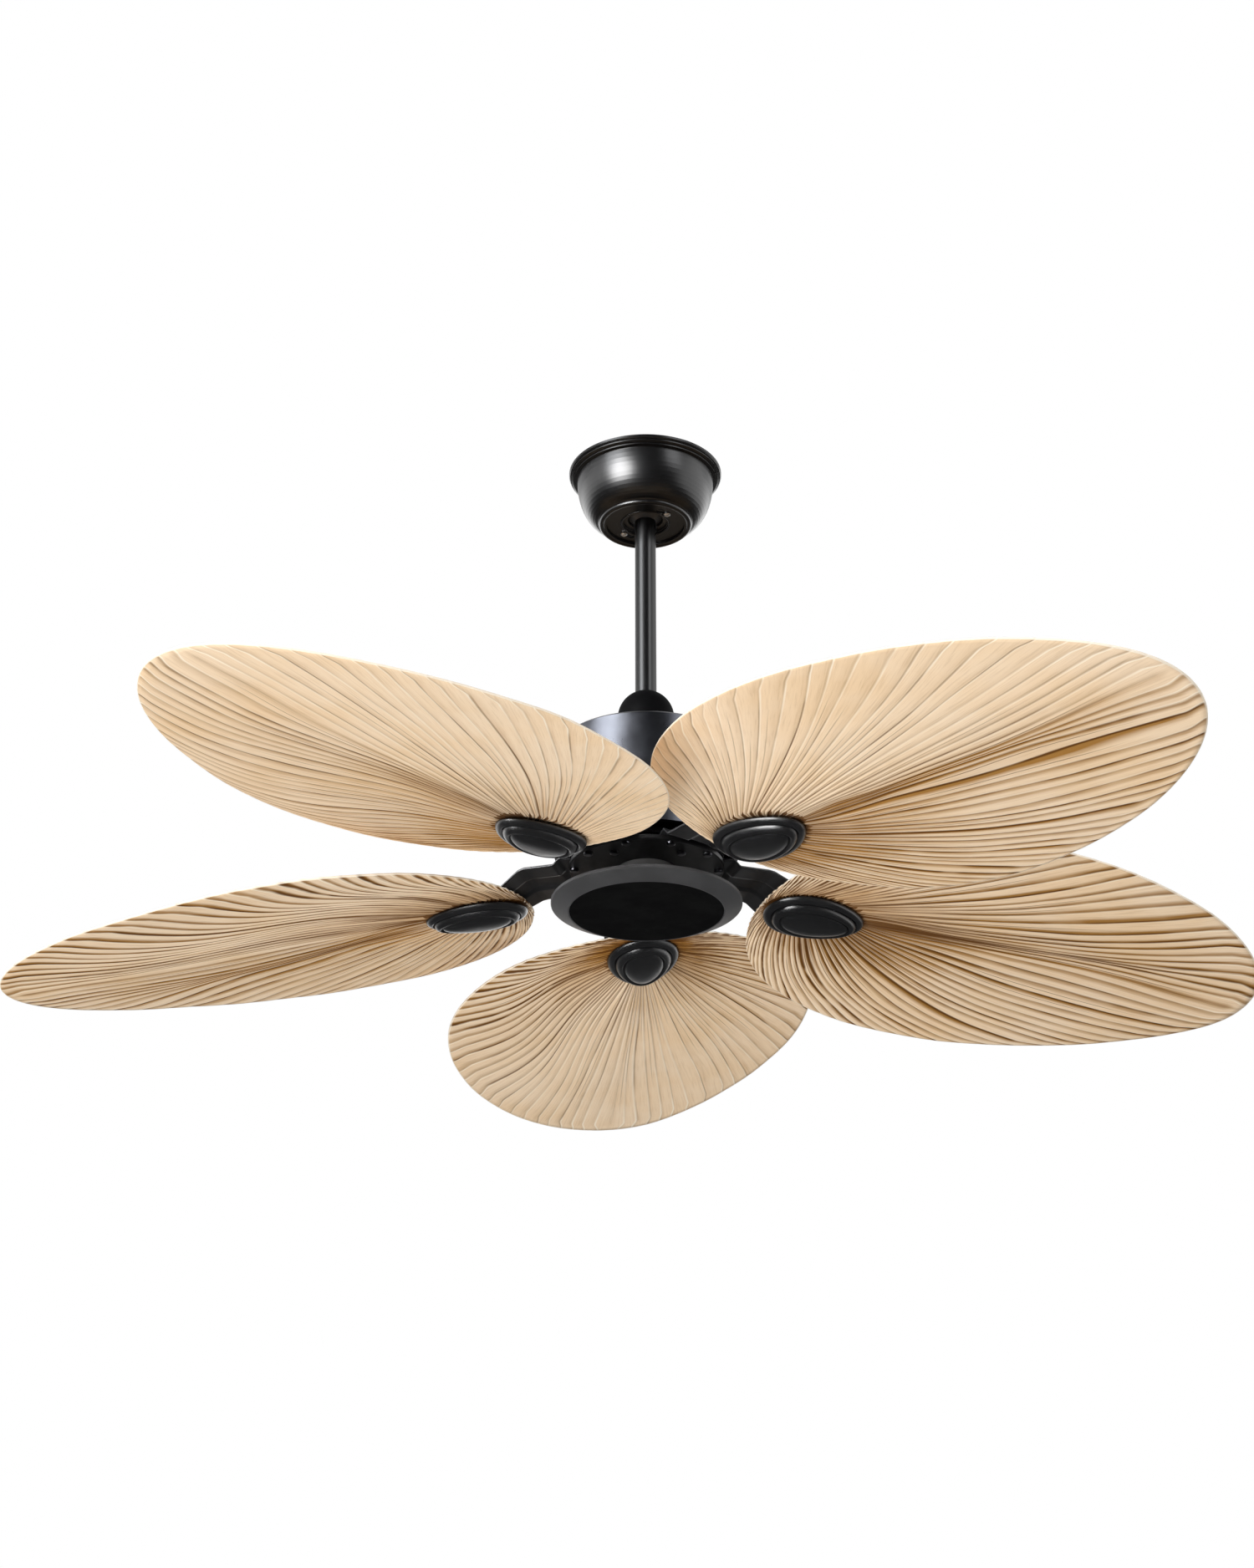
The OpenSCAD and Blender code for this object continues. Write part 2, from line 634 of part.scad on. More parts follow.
// one wire: up through the shaft, then out towards the rod's wall in an S bend
module wire(az, bottom, top) {
    n = 8;
    in_r = 2.3;
    out_r = rod_bore_r - wire_r - 0.2;
    knee_z = rod_bottom_z + 1;
    bend_h = 11;
    path = concat([[in_r, bottom]],
        [for (k = [0:4]) [lerp(in_r, out_r, (1 - cos(45 * k)) / 2), knee_z + bend_h * k / 4]],
        [[out_r, top]]);
    last = len(path) - 1;
    points = [for (p = path, k = [0:n - 1]) [p[0] + wire_r * cos(k * 360 / n), wire_r * sin(k * 360 / n), p[1]]];
    faces = concat(
        [[for (k = [0:n - 1]) k], [for (k = [n - 1:-1:0]) last * n + k]],
        [for (j = [0:last - 1], k = [0:n - 1]) let (a = j * n + k, b = j * n + (k + 1) % n)
            each [[a, b + n, b], [a, a + n, b + n]]]);
    rotate([0, 0, az]) polyhedron(points, faces);
}

module lead_wires() {
    bottom = neck_bottom_z + 2.2 + 14 + 2 * seat_gap;
    top = rod_top_z + 8;
    color("white") wire(45, bottom, top);
    color("black") wire(135, bottom, top);
    color("green") wire(-45, bottom, top);
}

// ---------- turning half of the motor ----------

// one bell with its floor down: flange, wall and bearing seat
module bell(flange_r, h) {
    color(aluminium) rotate_extrude() polygon([
        [shaft_r + 1.5, 0], [flange_r, 0], [flange_r, bell_floor], [bell_wall_r, bell_floor],
        [bell_wall_r, h], [rotor_ring_r + fit_gap, h], [rotor_ring_r + fit_gap, bell_floor + 6],
        [rotor_ring_r - 3, bell_floor],
        [bearing_r + fit_gap + seat_wall, bell_floor], [bearing_r + fit_gap + seat_wall, bell_floor + bearing_w],
        [bearing_r + fit_gap, bell_floor + bearing_w], [bearing_r + fit_gap, bell_floor - seat_gap],
        [shaft_r + 1.5, bell_floor - seat_gap]]);
}

module lower_bell() {
    h = bell_split_z - bell_bottom_z;
    color(aluminium) difference() {
        translate([0, 0, bell_bottom_z]) bell(bell_r, h);
        for (i = [0:blades - 1]) rotate([0, 0, 90 + blade_turn + i * 360 / blades]) for (p = arm_screw_at)
            translate([p[0], p[1], bell_bottom_z - over])
                cylinder(r = arm_screw_r + fit_gap, h = bell_floor + 2 * over, $fn = 32);
        for (i = [0:3]) rotate([0, 0, 20 + 90 * i])
            translate([(rotor_ring_r + bell_wall_r) / 2, 0, bell_split_z - 16])
                cylinder(r = 1.5 + fit_gap, h = 18, $fn = 24);
    }
}

module upper_bell() {
    h = bell_top_z - bell_split_z - seat_gap;
    vent_r = 4;
    color(aluminium) difference() {
        translate([0, 0, bell_top_z]) mirror([0, 0, 1]) bell(bell_wall_r, h);
        for (i = [0:9]) rotate([0, 0, 36 * i]) translate([44, 0, bell_top_z - bell_floor - over])
            cylinder(r = vent_r, h = bell_floor + 2 * over, $fn = 32);
        for (i = [0:3]) rotate([0, 0, 20 + 90 * i])
            translate([(rotor_ring_r + bell_wall_r) / 2, 0, bell_split_z - over])
                cylinder(r = 1.5 + hole_gap, h = h + 3 * over, $fn = 24);
    }
}

module rotor_ring() {
    h = stator_h + 6;
    color(steel_black) tube(rotor_ring_r, stator_r + air_gap, h, stator_mid_z - h / 2);
}

module bell_screws() {
    color(zinc) for (i = [0:3]) rotate([0, 0, 20 + 90 * i])
        translate([(rotor_ring_r + bell_wall_r) / 2, 0, bell_top_z + seat_gap])
            screw(1.5, bell_top_z - bell_split_z + 14, 3, 2);
}

module bearing_outer_rings() {
    color(zinc) for (k = [0, 1]) translate([0, 0, bearing_z(k)]) difference() {
        tube(bearing_r, bearing_r - bearing_ring_t, bearing_w, 0);
        ball_track(fit_gap);
    }
}

module bearing_balls() {
    color(aluminium) for (k = [0, 1], i = [0:bearing_ball_count - 1])
        rotate([0, 0, i * 360 / bearing_ball_count])
            translate([bearing_mid_r, 0, bearing_z(k) + bearing_w / 2]) sphere(r = bearing_ball_r, $fn = 32);
}

// ---------- blades ----------

module blade_ring() {
    color(steel_black) difference() {
        rotate_extrude() polygon([
            [ring_hole_r, ring_bottom_z], [ring_r - 1, ring_bottom_z], [ring_r, ring_bottom_z + 1],
            [ring_r, ring_top_z], [ring_hole_r, ring_top_z]]);
        for (i = [1:blades]) at_blade(i) for (p = arm_screw_at)
            translate([p[0], p[1], ring_bottom_z - over])
                cylinder(r = arm_screw_r + hole_gap, h = ring_t + 2 * over, $fn = 32);
    }
}

// height of the arm's underside over the leaf, on the arm's centre line
function pad_z(u) = leaf_top_z + seat_gap / cos(blade_pitch) - (u - medallion_u) * tan(blade_droop);

// stations along an arm: [distance, height of the underside, half width, pitch, channel height]
arm_line = let (w = arm_w / 2, c = arm_channel, lo = arm_low_z, hi = ring_top_z, p = blade_pitch) [
    [48, hi, w * 0.66, 0, 0], [71, hi, w * 0.94, 0, 0], [76.5, hi, w, 0, 0],
    [82.5, lo, w, 0, c], [112, lo, w, 0, c], [118, lo - 1.5, w, p * 0.1, c],
    [141, pad_z(141), w, p, c], [150, pad_z(150), w, p, 0.1], [186, pad_z(186), w * 0.7, p, 0.1],
    [203, pad_z(203), w * 0.58, p, 0.1], [213, pad_z(213), w * 0.3, p, 0.1]];

// one cross-section of an arm: a flat sheet with a raised channel down its middle
function arm_section(s) = let (
    w = s[2], ch = min(11, w * 0.4), k = min(14, w * 0.5), t = arm_t,
    edge = [[-w, 0], [-k, 0], [-ch, s[4]], [ch, s[4]], [k, 0], [w, 0]],
    ring = concat(edge, [for (i = [5:-1:0]) edge[i] + [0, t]]))
    [for (p = ring) [s[0], p[0] * cos(s[3]) + p[1] * sin(s[3]), s[1] - p[0] * sin(s[3]) + p[1] * cos(s[3])]];

module blade_arm(i) {
    n = 12;
    last = len(arm_line) - 1;
    points = [for (s = arm_line) each arm_section(s)];
    faces = concat(
        [for (j = [0:last - 1], k = [0:n - 1]) let (a = j * n + k, b = j * n + (k + 1) % n)
            [a, b, b + n]],
        [for (j = [0:last - 1], k = [0:n - 1]) let (a = j * n + k, b = j * n + (k + 1) % n)
            [a, b + n, a + n]],
        [for (k = [0:4]) each [[k, 11 - k, k + 1], [k + 1, 11 - k, 10 - k]]],
        [for (k = [0:4]) let (o = last * n) each [[o + k, o + k + 1, o + 11 - k],
            [o + k + 1, o + 10 - k, o + 11 - k]]]);
    color(steel_black) at_blade(i) difference() {
        polyhedron(points, faces);
        for (p = arm_screw_at) translate([p[0], p[1], ring_top_z - over])
            cylinder(r = arm_screw_r + hole_gap, h = arm_t + 2 * over, $fn = 32);
        leaf_plane() for (x = leaf_screw_x) translate([x, 0, -over])
            cylinder(r = leaf_screw_r + hole_gap, h = arm_t + 3 * over, $fn = 32);
    }
}

module arm_screws() {
    color(zinc) for (i = [1:blades]) at_blade(i) for (p = arm_screw_at)
        translate([p[0], p[1], ring_bottom_z - seat_gap]) rotate([180, 0, 0])
            screw(arm_screw_r, ring_t + arm_t + bell_floor - 0.5, arm_screw_head_r, arm_screw_head_h);
}

module leaf_screws() {
    color(zinc) for (i = [1:blades]) at_blade(i) leaf_plane() for (x = leaf_screw_x)
        translate([x, 0, arm_t + 3 * seat_gap])
            screw(leaf_screw_r, arm_t + 9, leaf_screw_head_r, leaf_screw_head_h);
}

// ribs are crowded round the leaf's root, and most leave the medallion at its outer end
function rib_end(t) = t > 180 ? 360 - rib_end(360 - t) : 81 * t / 180 + 99 * sin(t / 2);

function rib_start(t) = t > 180 ? 360 - rib_start(360 - t) : 180 * pow(rib_end(t) / 180, 1.3);

function leaf_point(t, f) = let (
    start = egg(medallion_l / 2 + 2, medallion_w / 2 + 2, medallion_egg, rib_start(t)),
    end = egg(leaf_a, leaf_b, leaf_egg, rib_end(t)) + [leaf_mid, 0])
    [lerp(start[0], end[0], f), lerp(start[1], end[1], f)];

// rings of the leaf from its screw hole to its margin: [kind or reach, share of the pleat depth]
leaf_rings = [["open", 0], ["clamp", 0], [0, 1], [0.3, 0.8], [0.66, 0.6], [1, 0.3]];

function ring_point(ring, t) =
    ring == "open" ? egg(open_a, open_b, 0, rib_start(t)) :
    ring == "clamp" ? egg(clamp_a, clamp_b, 0, rib_start(t)) : leaf_point(t, ring);

// pleated palm leaf: crests stay in one plane, valleys reach down by the pleat depth
module leaf_blade(i) {
    n = 2 * pleat_count;
    m = len(leaf_rings);
    side = n * m;
    top = [for (j = [0:m - 1], k = [0:n - 1])
        let (p = ring_point(leaf_rings[j][0], k * 360 / n), down = (k % 2) * leaf_rings[j][1] * pleat_depth)
        [p[0], p[1], -down]];
    points = concat(top, [for (p = top) p - [0, 0, leaf_t]]);
    quads = concat(
        [for (j = [0:m - 2], k = [0:n - 1]) let (q = (k + 1) % n)
            [j * n + k, j * n + n + k, j * n + n + q, j * n + q]],
        [for (j = [0:m - 2], k = [0:n - 1]) let (q = (k + 1) % n)
            [side + j * n + k, side + j * n + q, side + j * n + n + q, side + j * n + n + k]],
        [for (k = [0:n - 1]) let (q = (k + 1) % n) [k, q, side + q, side + k]],
        [for (k = [0:n - 1]) let (q = (k + 1) % n, o = side - n) [o + k, side + o + k, side + o + q, o + q]]);
    color(leaf_tan) at_blade(i) leaf_plane() rotate([0, 0, leaf_turn])
        polyhedron(points, [for (f = quads) each [[f[0], f[2], f[1]], [f[0], f[3], f[2]]]]);
}

// three nested shells, from rim to crown: [share of the outline, share of the depth]
medallion_rings = [[1, 0], [1, 0.15], [0.95, 0.28], [0.84, 0.33], [0.825, 0.5], [0.76, 0.6],
    [0.665, 0.65], [0.65, 0.82], [0.5, 0.94]];

module medallion(i) {
    n = 24;
    m = len(medallion_rings);
    points = concat(
        [for (s = medallion_rings, k = [0:n - 1])
            let (p = egg(medallion_l / 2, medallion_w / 2, medallion_egg, k * 360 / n) * s[0])
            [p[0], p[1], -s[1] * medallion_h]],
        [[0, 0, -medallion_h]]);
    faces = concat(
        [for (j = [0:m - 2], k = [0:n - 1]) let (q = (k + 1) % n)
            each [[j * n + k, j * n + q, j * n + n + q], [j * n + k, j * n + n + q, j * n + n + k]]],
        [for (k = [0:n - 1]) [(m - 1) * n + k, (m - 1) * n + (k + 1) % n, m * n]],
        [[for (k = [n - 1:-1:0]) k]]);
    color(charcoal) at_blade(i) leaf_plane() difference() {
        union() {
            translate([0, 0, -leaf_t - pleat_depth - leaf_gap]) polyhedron(points, faces);
            translate([0, 0, -leaf_t - pleat_depth - leaf_gap - over]) {
                for (s = [-1, 1]) translate([s * (boss_l - boss_r), 0, 0])
                    cylinder(r = boss_r, h = boss_h + over, $fn = 48);
                translate([-boss_l + boss_r, -boss_r, 0]) cube([2 * (boss_l - boss_r), 2 * boss_r, boss_h + over]);
            }
        }
        for (x = leaf_screw_x) translate([x, 0, -8.8])
            cylinder(r = leaf_screw_r + fit_gap, h = 10, $fn = 32);
    }
}

hanger_bracket();
canopy();
canopy_trim_ring();
canopy_screws();
hanger_ball();
ball_pin();
downrod();
coupling_cover();
rod_coupler();
clevis_pin();
cotter_pin();
coupler_set_screws();
motor_shaft();
housing_hanger();
motor_housing();
housing_screws();
stator_core();
stator_winding();
bearing_inner_rings();
neck_housing();
shaft_nut();
capacitor();
cover_plate();
cover_ring();
cover_cap();
cover_screws();
lead_wires();
lower_bell();
upper_bell();
rotor_ring();
bell_screws();
bearing_outer_rings();
bearing_balls();
blade_ring();
arm_screws();
leaf_screws();
for (i = [1:blades]) blade_arm(i);
for (i = [1:blades]) leaf_blade(i);
for (i = [1:blades]) medallion(i);
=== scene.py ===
import json
from math import cos, pi, radians, sin, tan

import bmesh
import bpy
from mathutils import Matrix, Vector


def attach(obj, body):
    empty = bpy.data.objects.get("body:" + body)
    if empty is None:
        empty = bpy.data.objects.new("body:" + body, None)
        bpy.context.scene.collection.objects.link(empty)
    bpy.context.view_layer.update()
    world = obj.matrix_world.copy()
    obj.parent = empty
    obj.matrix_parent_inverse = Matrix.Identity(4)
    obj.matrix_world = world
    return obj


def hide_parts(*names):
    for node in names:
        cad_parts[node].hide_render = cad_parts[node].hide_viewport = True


# placed by matching the fan's rings and leaf outlines to the photograph
camera = {"place": (-0.0188, -2.3933, -1.4722), "lookUp": 25.07, "lens": 61.97}

cameraData = bpy.data.cameras.new("fanCamera")
cameraData.lens = camera["lens"]
cameraObject = bpy.data.objects.new("fanCamera", cameraData)
cameraObject.location = camera["place"]
cameraObject.rotation_euler = (radians(90 + camera["lookUp"]), 0, 0)
bpy.context.collection.objects.link(cameraObject)
bpy.context.scene.camera = cameraObject
print("camera made")

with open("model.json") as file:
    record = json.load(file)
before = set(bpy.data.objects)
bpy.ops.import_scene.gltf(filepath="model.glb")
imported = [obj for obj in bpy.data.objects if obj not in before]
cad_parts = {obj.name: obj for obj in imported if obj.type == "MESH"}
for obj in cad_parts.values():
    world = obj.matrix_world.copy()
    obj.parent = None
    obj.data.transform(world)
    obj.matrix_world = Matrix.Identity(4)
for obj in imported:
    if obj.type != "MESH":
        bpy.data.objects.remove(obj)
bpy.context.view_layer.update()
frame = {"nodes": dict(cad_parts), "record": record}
print("frame loaded, nodes:", len(frame["nodes"]))

# where the blades sit, in metres and degrees, as on the frame
fan = {"blades": 5, "bladeTurn": 1.2, "medallionOut": 0.174, "crestZ": -0.4645,
       "pitch": 7.3, "droop": 3.0, "leafTurn": 2.2, "leafThick": 0.0016, "pleatDepth": 0.004}


def turned(degrees, axis):
    return Matrix.Rotation(radians(degrees), 4, axis)


def atBlade(number):
    return turned(90 + fan["bladeTurn"] + (number - 1) * 360 / fan["blades"], "Z")


def leafPlane(number):
    tilt = turned(fan["droop"], "Y") @ turned(-fan["pitch"], "X")
    return atBlade(number) @ Matrix.Translation((fan["medallionOut"], 0, fan["crestZ"])) @ tilt


class Socket:
    # a node output that + - * / and ** turn into Math nodes
    def __init__(self, graph, out):
        self.graph, self.out = graph, out

    def math(self, operation, *values):
        return self.graph.add("ShaderNodeMath", {"operation": operation}, dict(enumerate((self,) + values)))

    def flipped(self, operation, value):
        return self.graph.add("ShaderNodeMath", {"operation": operation}, {0: value, 1: self})

    def __add__(self, other):
        return self.math("ADD", other)

    def __radd__(self, other):
        return self.flipped("ADD", other)

    def __sub__(self, other):
        return self.math("SUBTRACT", other)

    def __rsub__(self, other):
        return self.flipped("SUBTRACT", other)

    def __mul__(self, other):
        return self.math("MULTIPLY", other)

    def __rmul__(self, other):
        return self.flipped("MULTIPLY", other)

    def __truediv__(self, other):
        return self.math("DIVIDE", other)

    def __rtruediv__(self, other):
        return self.flipped("DIVIDE", other)

    def __pow__(self, other):
        return self.math("POWER", other)

    def __rpow__(self, other):
        return self.flipped("POWER", other)

    def __neg__(self):
        return self.math("MULTIPLY", -1.0)

    def get(self, name):
        return Socket(self.graph, self.out.node.outputs[name])

    def smooth(self, low, high, toLow=0.0, toHigh=1.0):
        return self.graph.add("ShaderNodeMapRange", {"interpolation_type": "SMOOTHSTEP"},
                              {0: self, 1: low, 2: high, 3: toLow, 4: toHigh})

    def lowest(self, other):
        return self.math("MINIMUM", other)

    def highest(self, other):
        return self.math("MAXIMUM", other)


class Graph:
    def __init__(self, tree):
        self.tree = tree

    def add(self, kind, settings=None, inputs=None, output=0):
        node = self.tree.nodes.new(kind)
        for name, value in (settings or {}).items():
            setattr(node, name, value)
        for key, value in (inputs or {}).items():
            if isinstance(value, Socket):
                self.tree.links.new(value.out, node.inputs[key])
            else:
                node.inputs[key].default_value = value
        return Socket(self, node.outputs[output]) if node.outputs else node

    def mix(self, factor, first, second):
        return self.add("ShaderNodeMix", {"data_type": "RGBA"}, {0: factor, 6: first, 7: second}, 2)

    def combine(self, x, y, z=0.0):
        return self.add("ShaderNodeCombineXYZ", {}, {0: x, 1: y, 2: z})

    def split(self, vector):
        # gives X, from which get("Y") and get("Z") give the others
        return self.add("ShaderNodeSeparateXYZ", {}, {0: vector})

    def noise(self, vector, scale, detail=2.0, rough=0.5):
        return self.add("ShaderNodeTexNoise", {},
                        {"Vector": vector, "Scale": scale, "Detail": detail, "Roughness": rough})

    def chance(self, value):
        return self.add("ShaderNodeTexWhiteNoise", {"noise_dimensions": "1D"}, {"W": value})


def newMaterial(name, **constants):
    material = bpy.data.materials.new(name)
    material.use_nodes = True
    graph = Graph(material.node_tree)
    surface = material.node_tree.nodes["Principled BSDF"]
    for key, value in constants.items():
        surface.inputs[key.replace("_", " ")].default_value = value
    return material, graph, surface


def plug(graph, surface, **links):
    for key, value in links.items():
        graph.tree.links.new(value.out, surface.inputs[key.replace("_", " ")])


def objectCoords(graph):
    return graph.add("ShaderNodeTexCoord", {}, {}, "Object")


def linkNew(name, data):
    result = bpy.data.objects.new(name, data)
    bpy.context.collection.objects.link(result)
    return result


# painted or bare metal and plastic: slight clouds in colour and gloss, and a fine surface grain
paintLook = {"cloudScale": 28.0, "lighter": 1.3, "glossier": 0.12, "duller": 0.15, "grainDepth": 0.0002}
paints = {
    "black_gloss": dict(base=(0.003, 0.003, 0.0033), rough=0.3, level=0.36, cloudy=0.0),
    "black_satin": dict(base=(0.013, 0.013, 0.014), rough=0.42, grain=0.04),
    "ring_black": dict(base=(0.004, 0.004, 0.0043), rough=0.42, grain=0.04, level=0.35),
    "screw_black": dict(base=(0.11, 0.11, 0.12), rough=0.32, metal=1.0),
    "black_matt": dict(base=(0.0015, 0.0015, 0.0017), rough=0.6, grain=0.1, level=0.03),
    "housing_graphite": dict(base=(0.056, 0.058, 0.066), rough=0.3, grain=0.03, metal=1.0),
    "charcoal_matt": dict(base=(0.042, 0.042, 0.044), rough=0.5, grain=0.1, level=0.4),
    # painted light: a lighter copy of the charcoal paint, for the neck that sits in the cover's shade
    "neck_charcoal": dict(base=(0.2, 0.2, 0.205), rough=0.45, grain=0.1),
    "bell_black": dict(base=(0.0015, 0.0015, 0.0017), rough=0.3, grain=0.1, ior=1.2),
    "medallion_plastic": dict(base=(0.008, 0.0082, 0.009), rough=0.35, grain=0.03, grainScale=1400.0),
    "ball_plastic": dict(base=(0.02, 0.02, 0.021), rough=0.35, grain=0.1),
    "capacitor_case": dict(base=(0.012, 0.012, 0.012), rough=0.5, grain=0.1),
    "zinc_steel": dict(base=(0.5, 0.51, 0.53), rough=0.3, grain=0.1, metal=1.0),
    "bell_aluminium": dict(base=(0.42, 0.43, 0.45), rough=0.45, grain=0.3, metal=1.0),
    "stator_steel": dict(base=(0.16, 0.16, 0.17), rough=0.5, grain=0.3, metal=1.0),
    "magnet_steel": dict(base=(0.06, 0.06, 0.065), rough=0.45, grain=0.2, metal=1.0),
    "bearing_steel": dict(base=(0.6, 0.61, 0.63), rough=0.12, metal=1.0),
    "winding_copper": dict(base=(0.5, 0.2, 0.08), rough=0.35, grain=0.6, grainScale=500.0, metal=1.0),
    "wire_insulation": dict(base=(0.6, 0.6, 0.6), rough=0.5, grain=0.05),
}


def makePaint(name, base, rough, grain=0.0, grainScale=900.0, level=0.5, metal=0.0, ior=1.5, cloudy=1.0):
    material, graph, surface = newMaterial(name, Metallic=metal, Specular_IOR_Level=level, IOR=ior)
    where = objectCoords(graph)
    cloud = graph.noise(where, paintLook["cloudScale"], 3.0, 0.6)
    fine = graph.noise(where, grainScale, 2.0, 0.5)
    lighter = tuple(min(1.0, channel * paintLook["lighter"]) for channel in base) + (1,)
    color = graph.mix(cloud.smooth(0.35, 0.7), tuple(base) + (1,), lighter)
    bump = graph.add("ShaderNodeBump", {}, {"Strength": grain, "Distance": paintLook["grainDepth"],
                                            "Height": fine})
    glossy, dull = rough * (1 - paintLook["glossier"] * cloudy), rough * (1 + paintLook["duller"] * cloudy)
    plug(graph, surface, Base_Color=color, Normal=bump, Roughness=cloud.smooth(0.3, 0.7, glossy, dull))
    return material


finishes = {name: makePaint(name.replace("_", " "), **values) for name, values in paints.items()}
print("paints mixed")

# one leaf, in metres: root is its inner end's distance from the fan's axis, ribStart and ribInner
# are the half axes of the rings where the ribs leave the medallion and where they end beneath it,
# and covered is the share of the rows that the medallion hides. Wave bends the ribs, uneven and
# jitter space the folds, wobble shapes the margin, and probe is the step that measures a pleat
leaf = {"length": 0.541, "width": 0.385, "egg": 0.19, "root": 0.119, "ribStart": (0.051, 0.037),
        "ribInner": (0.034, 0.02), "pleats": 78, "perPleat": 6, "rows": 56, "covered": 0.05,
        "ribEven": 0.45, "ribCrowd": 1.4, "foldRound": 0.7,
        "sag": 0.008, "bunchDrop": 0.0025, "bunchTone": 0.45,
        "wave": 0.024, "uneven": 0.034, "jitter": 0.009, "wobble": 0.036,
        "waveScale": 9.0, "unevenScale": (13.0, 0.8), "jitterScale": (45.0, 1.2), "wobbleScale": 2.2,
        "sagScale": 6.0, "jitterSeed": 9.0, "sagSeed": 5.0, "probe": 0.002, "weld": 0.00002}
# how the ribs run on the two halves of each leaf, at the tip and at the root, with the depth of
# colour there (ink, the strength of the painted crease shadows and of the folds' depth, and tone,
# a brown that is partly painted shade), the bunched folds (place round the leaf, width and
# strength), and how far the leaf is turned, drooped, lengthened and moved out from the even pattern
leafTraits = [f"{trait} {end}" for trait in ("Bow", "Swing", "Ink", "Tone") for end in ("Tip", "Root")]
leafRuns = [
    dict(left=(0.0, -0.1, 0.0, 0.1, 0.5, 2.0, 0.15, 1.9),
         right=(0.0, 0.0, 0.0, 0.0, 0.4, 2.0, 0.1, 1.9),
         bunch=(0.5, 0.04, 0.1), moved=(0.8, 0.0, 0.0, 0.0)),
    dict(left=(-0.07, -0.05, 0.07, 0.05, 1.6, 1.5, 0.85, 0.7),
         right=(0.06, 0.06, 0.0, 0.0, 1.25, 1.2, 0.1, 0.15),
         bunch=(0.43, 0.06, 1.0), moved=(0.0, 1.7, 0.006, 0.004)),
    dict(left=(0.02, 0.02, 0.0, 0.0, 0.55, 0.5, 0.2, 0.1),
         right=(0.1, 0.14, -0.07, 0.0, 0.85, 1.45, 0.2, 0.9),
         bunch=(0.44, 0.05, 0.35), moved=(0.0, 0.0, 0.0, 0.0)),
    dict(left=(0.08, 0.08, 0.0, 0.0, 1.3, 1.45, 0.25, 0.7),
         right=(-0.02, -0.02, 0.0, 0.0, 0.5, 0.6, 0.12, 0.2),
         bunch=(0.515, 0.045, 0.8), moved=(0.0, 0.0, 0.0, 0.0)),
    dict(left=(0.08, 0.08, 0.0, 0.0, 1.3, 1.3, 0.45, 0.5),
         right=(-0.06, -0.08, 0.0, 0.0, 1.4, 1.4, 0.9, 0.8),
         bunch=(0.46, 0.05, 0.8), moved=(0.0, 0.4, 0.004, 0.0)),
]

# the palm leaf's colours and surface: tan and pale are its own colour, warm a brown that is partly
# the leaf's own and partly painted shade, line the painted shadow in the creases, glint a painted
# highlight and rim a painted rim light along the margin. Then where each mark fades out: lines and
# glints in parts of the line's thickness or in millimetres, and how far in from the margin they
# change, in millimetres
leafFinish = {"pale": (0.91, 0.735, 0.545, 1), "tan": (0.84, 0.60, 0.36, 1), "warm": (0.32, 0.145, 0.022, 1),
              "line": (0.11, 0.042, 0.01, 1), "glint": (0.98, 0.87, 0.71, 1), "rim": (0.97, 0.88, 0.74, 1),
              "rough": 0.72, "ior": 1.15, "level": 0.2, "bump": 0.5, "bumpDepth": 0.0007,
              "lineFade": (0.2, 2.8), "fineFade": (0.15, 1.0), "glintFade": (0.3, 1.6), "glintAside": 2.2,
              "openFade": (1.7, 2.3), "rimFade": (0.6, 2.2), "hookIn": 22.0, "thickIn": 70.0, "glintIn": 80.0,
              "hookScale": 7.0, "strengthScale": (55.0, 4.5), "streakScale": (800.0, 8.0), "cloudScale": 9.0,
              "hookSeed": 3.0, "thickSeed": 100.0, "fineSeed": 31.0,
              "brownMost": 0.95, "darkMost": 0.93, "rimMost": 0.85}


inMillimetres = 1000.0


def pastMedallion(reach):
    # 0 under the medallion, and 1 at the margin
    return ((reach - leaf["covered"]) / (1 - leaf["covered"])).highest(0.0)


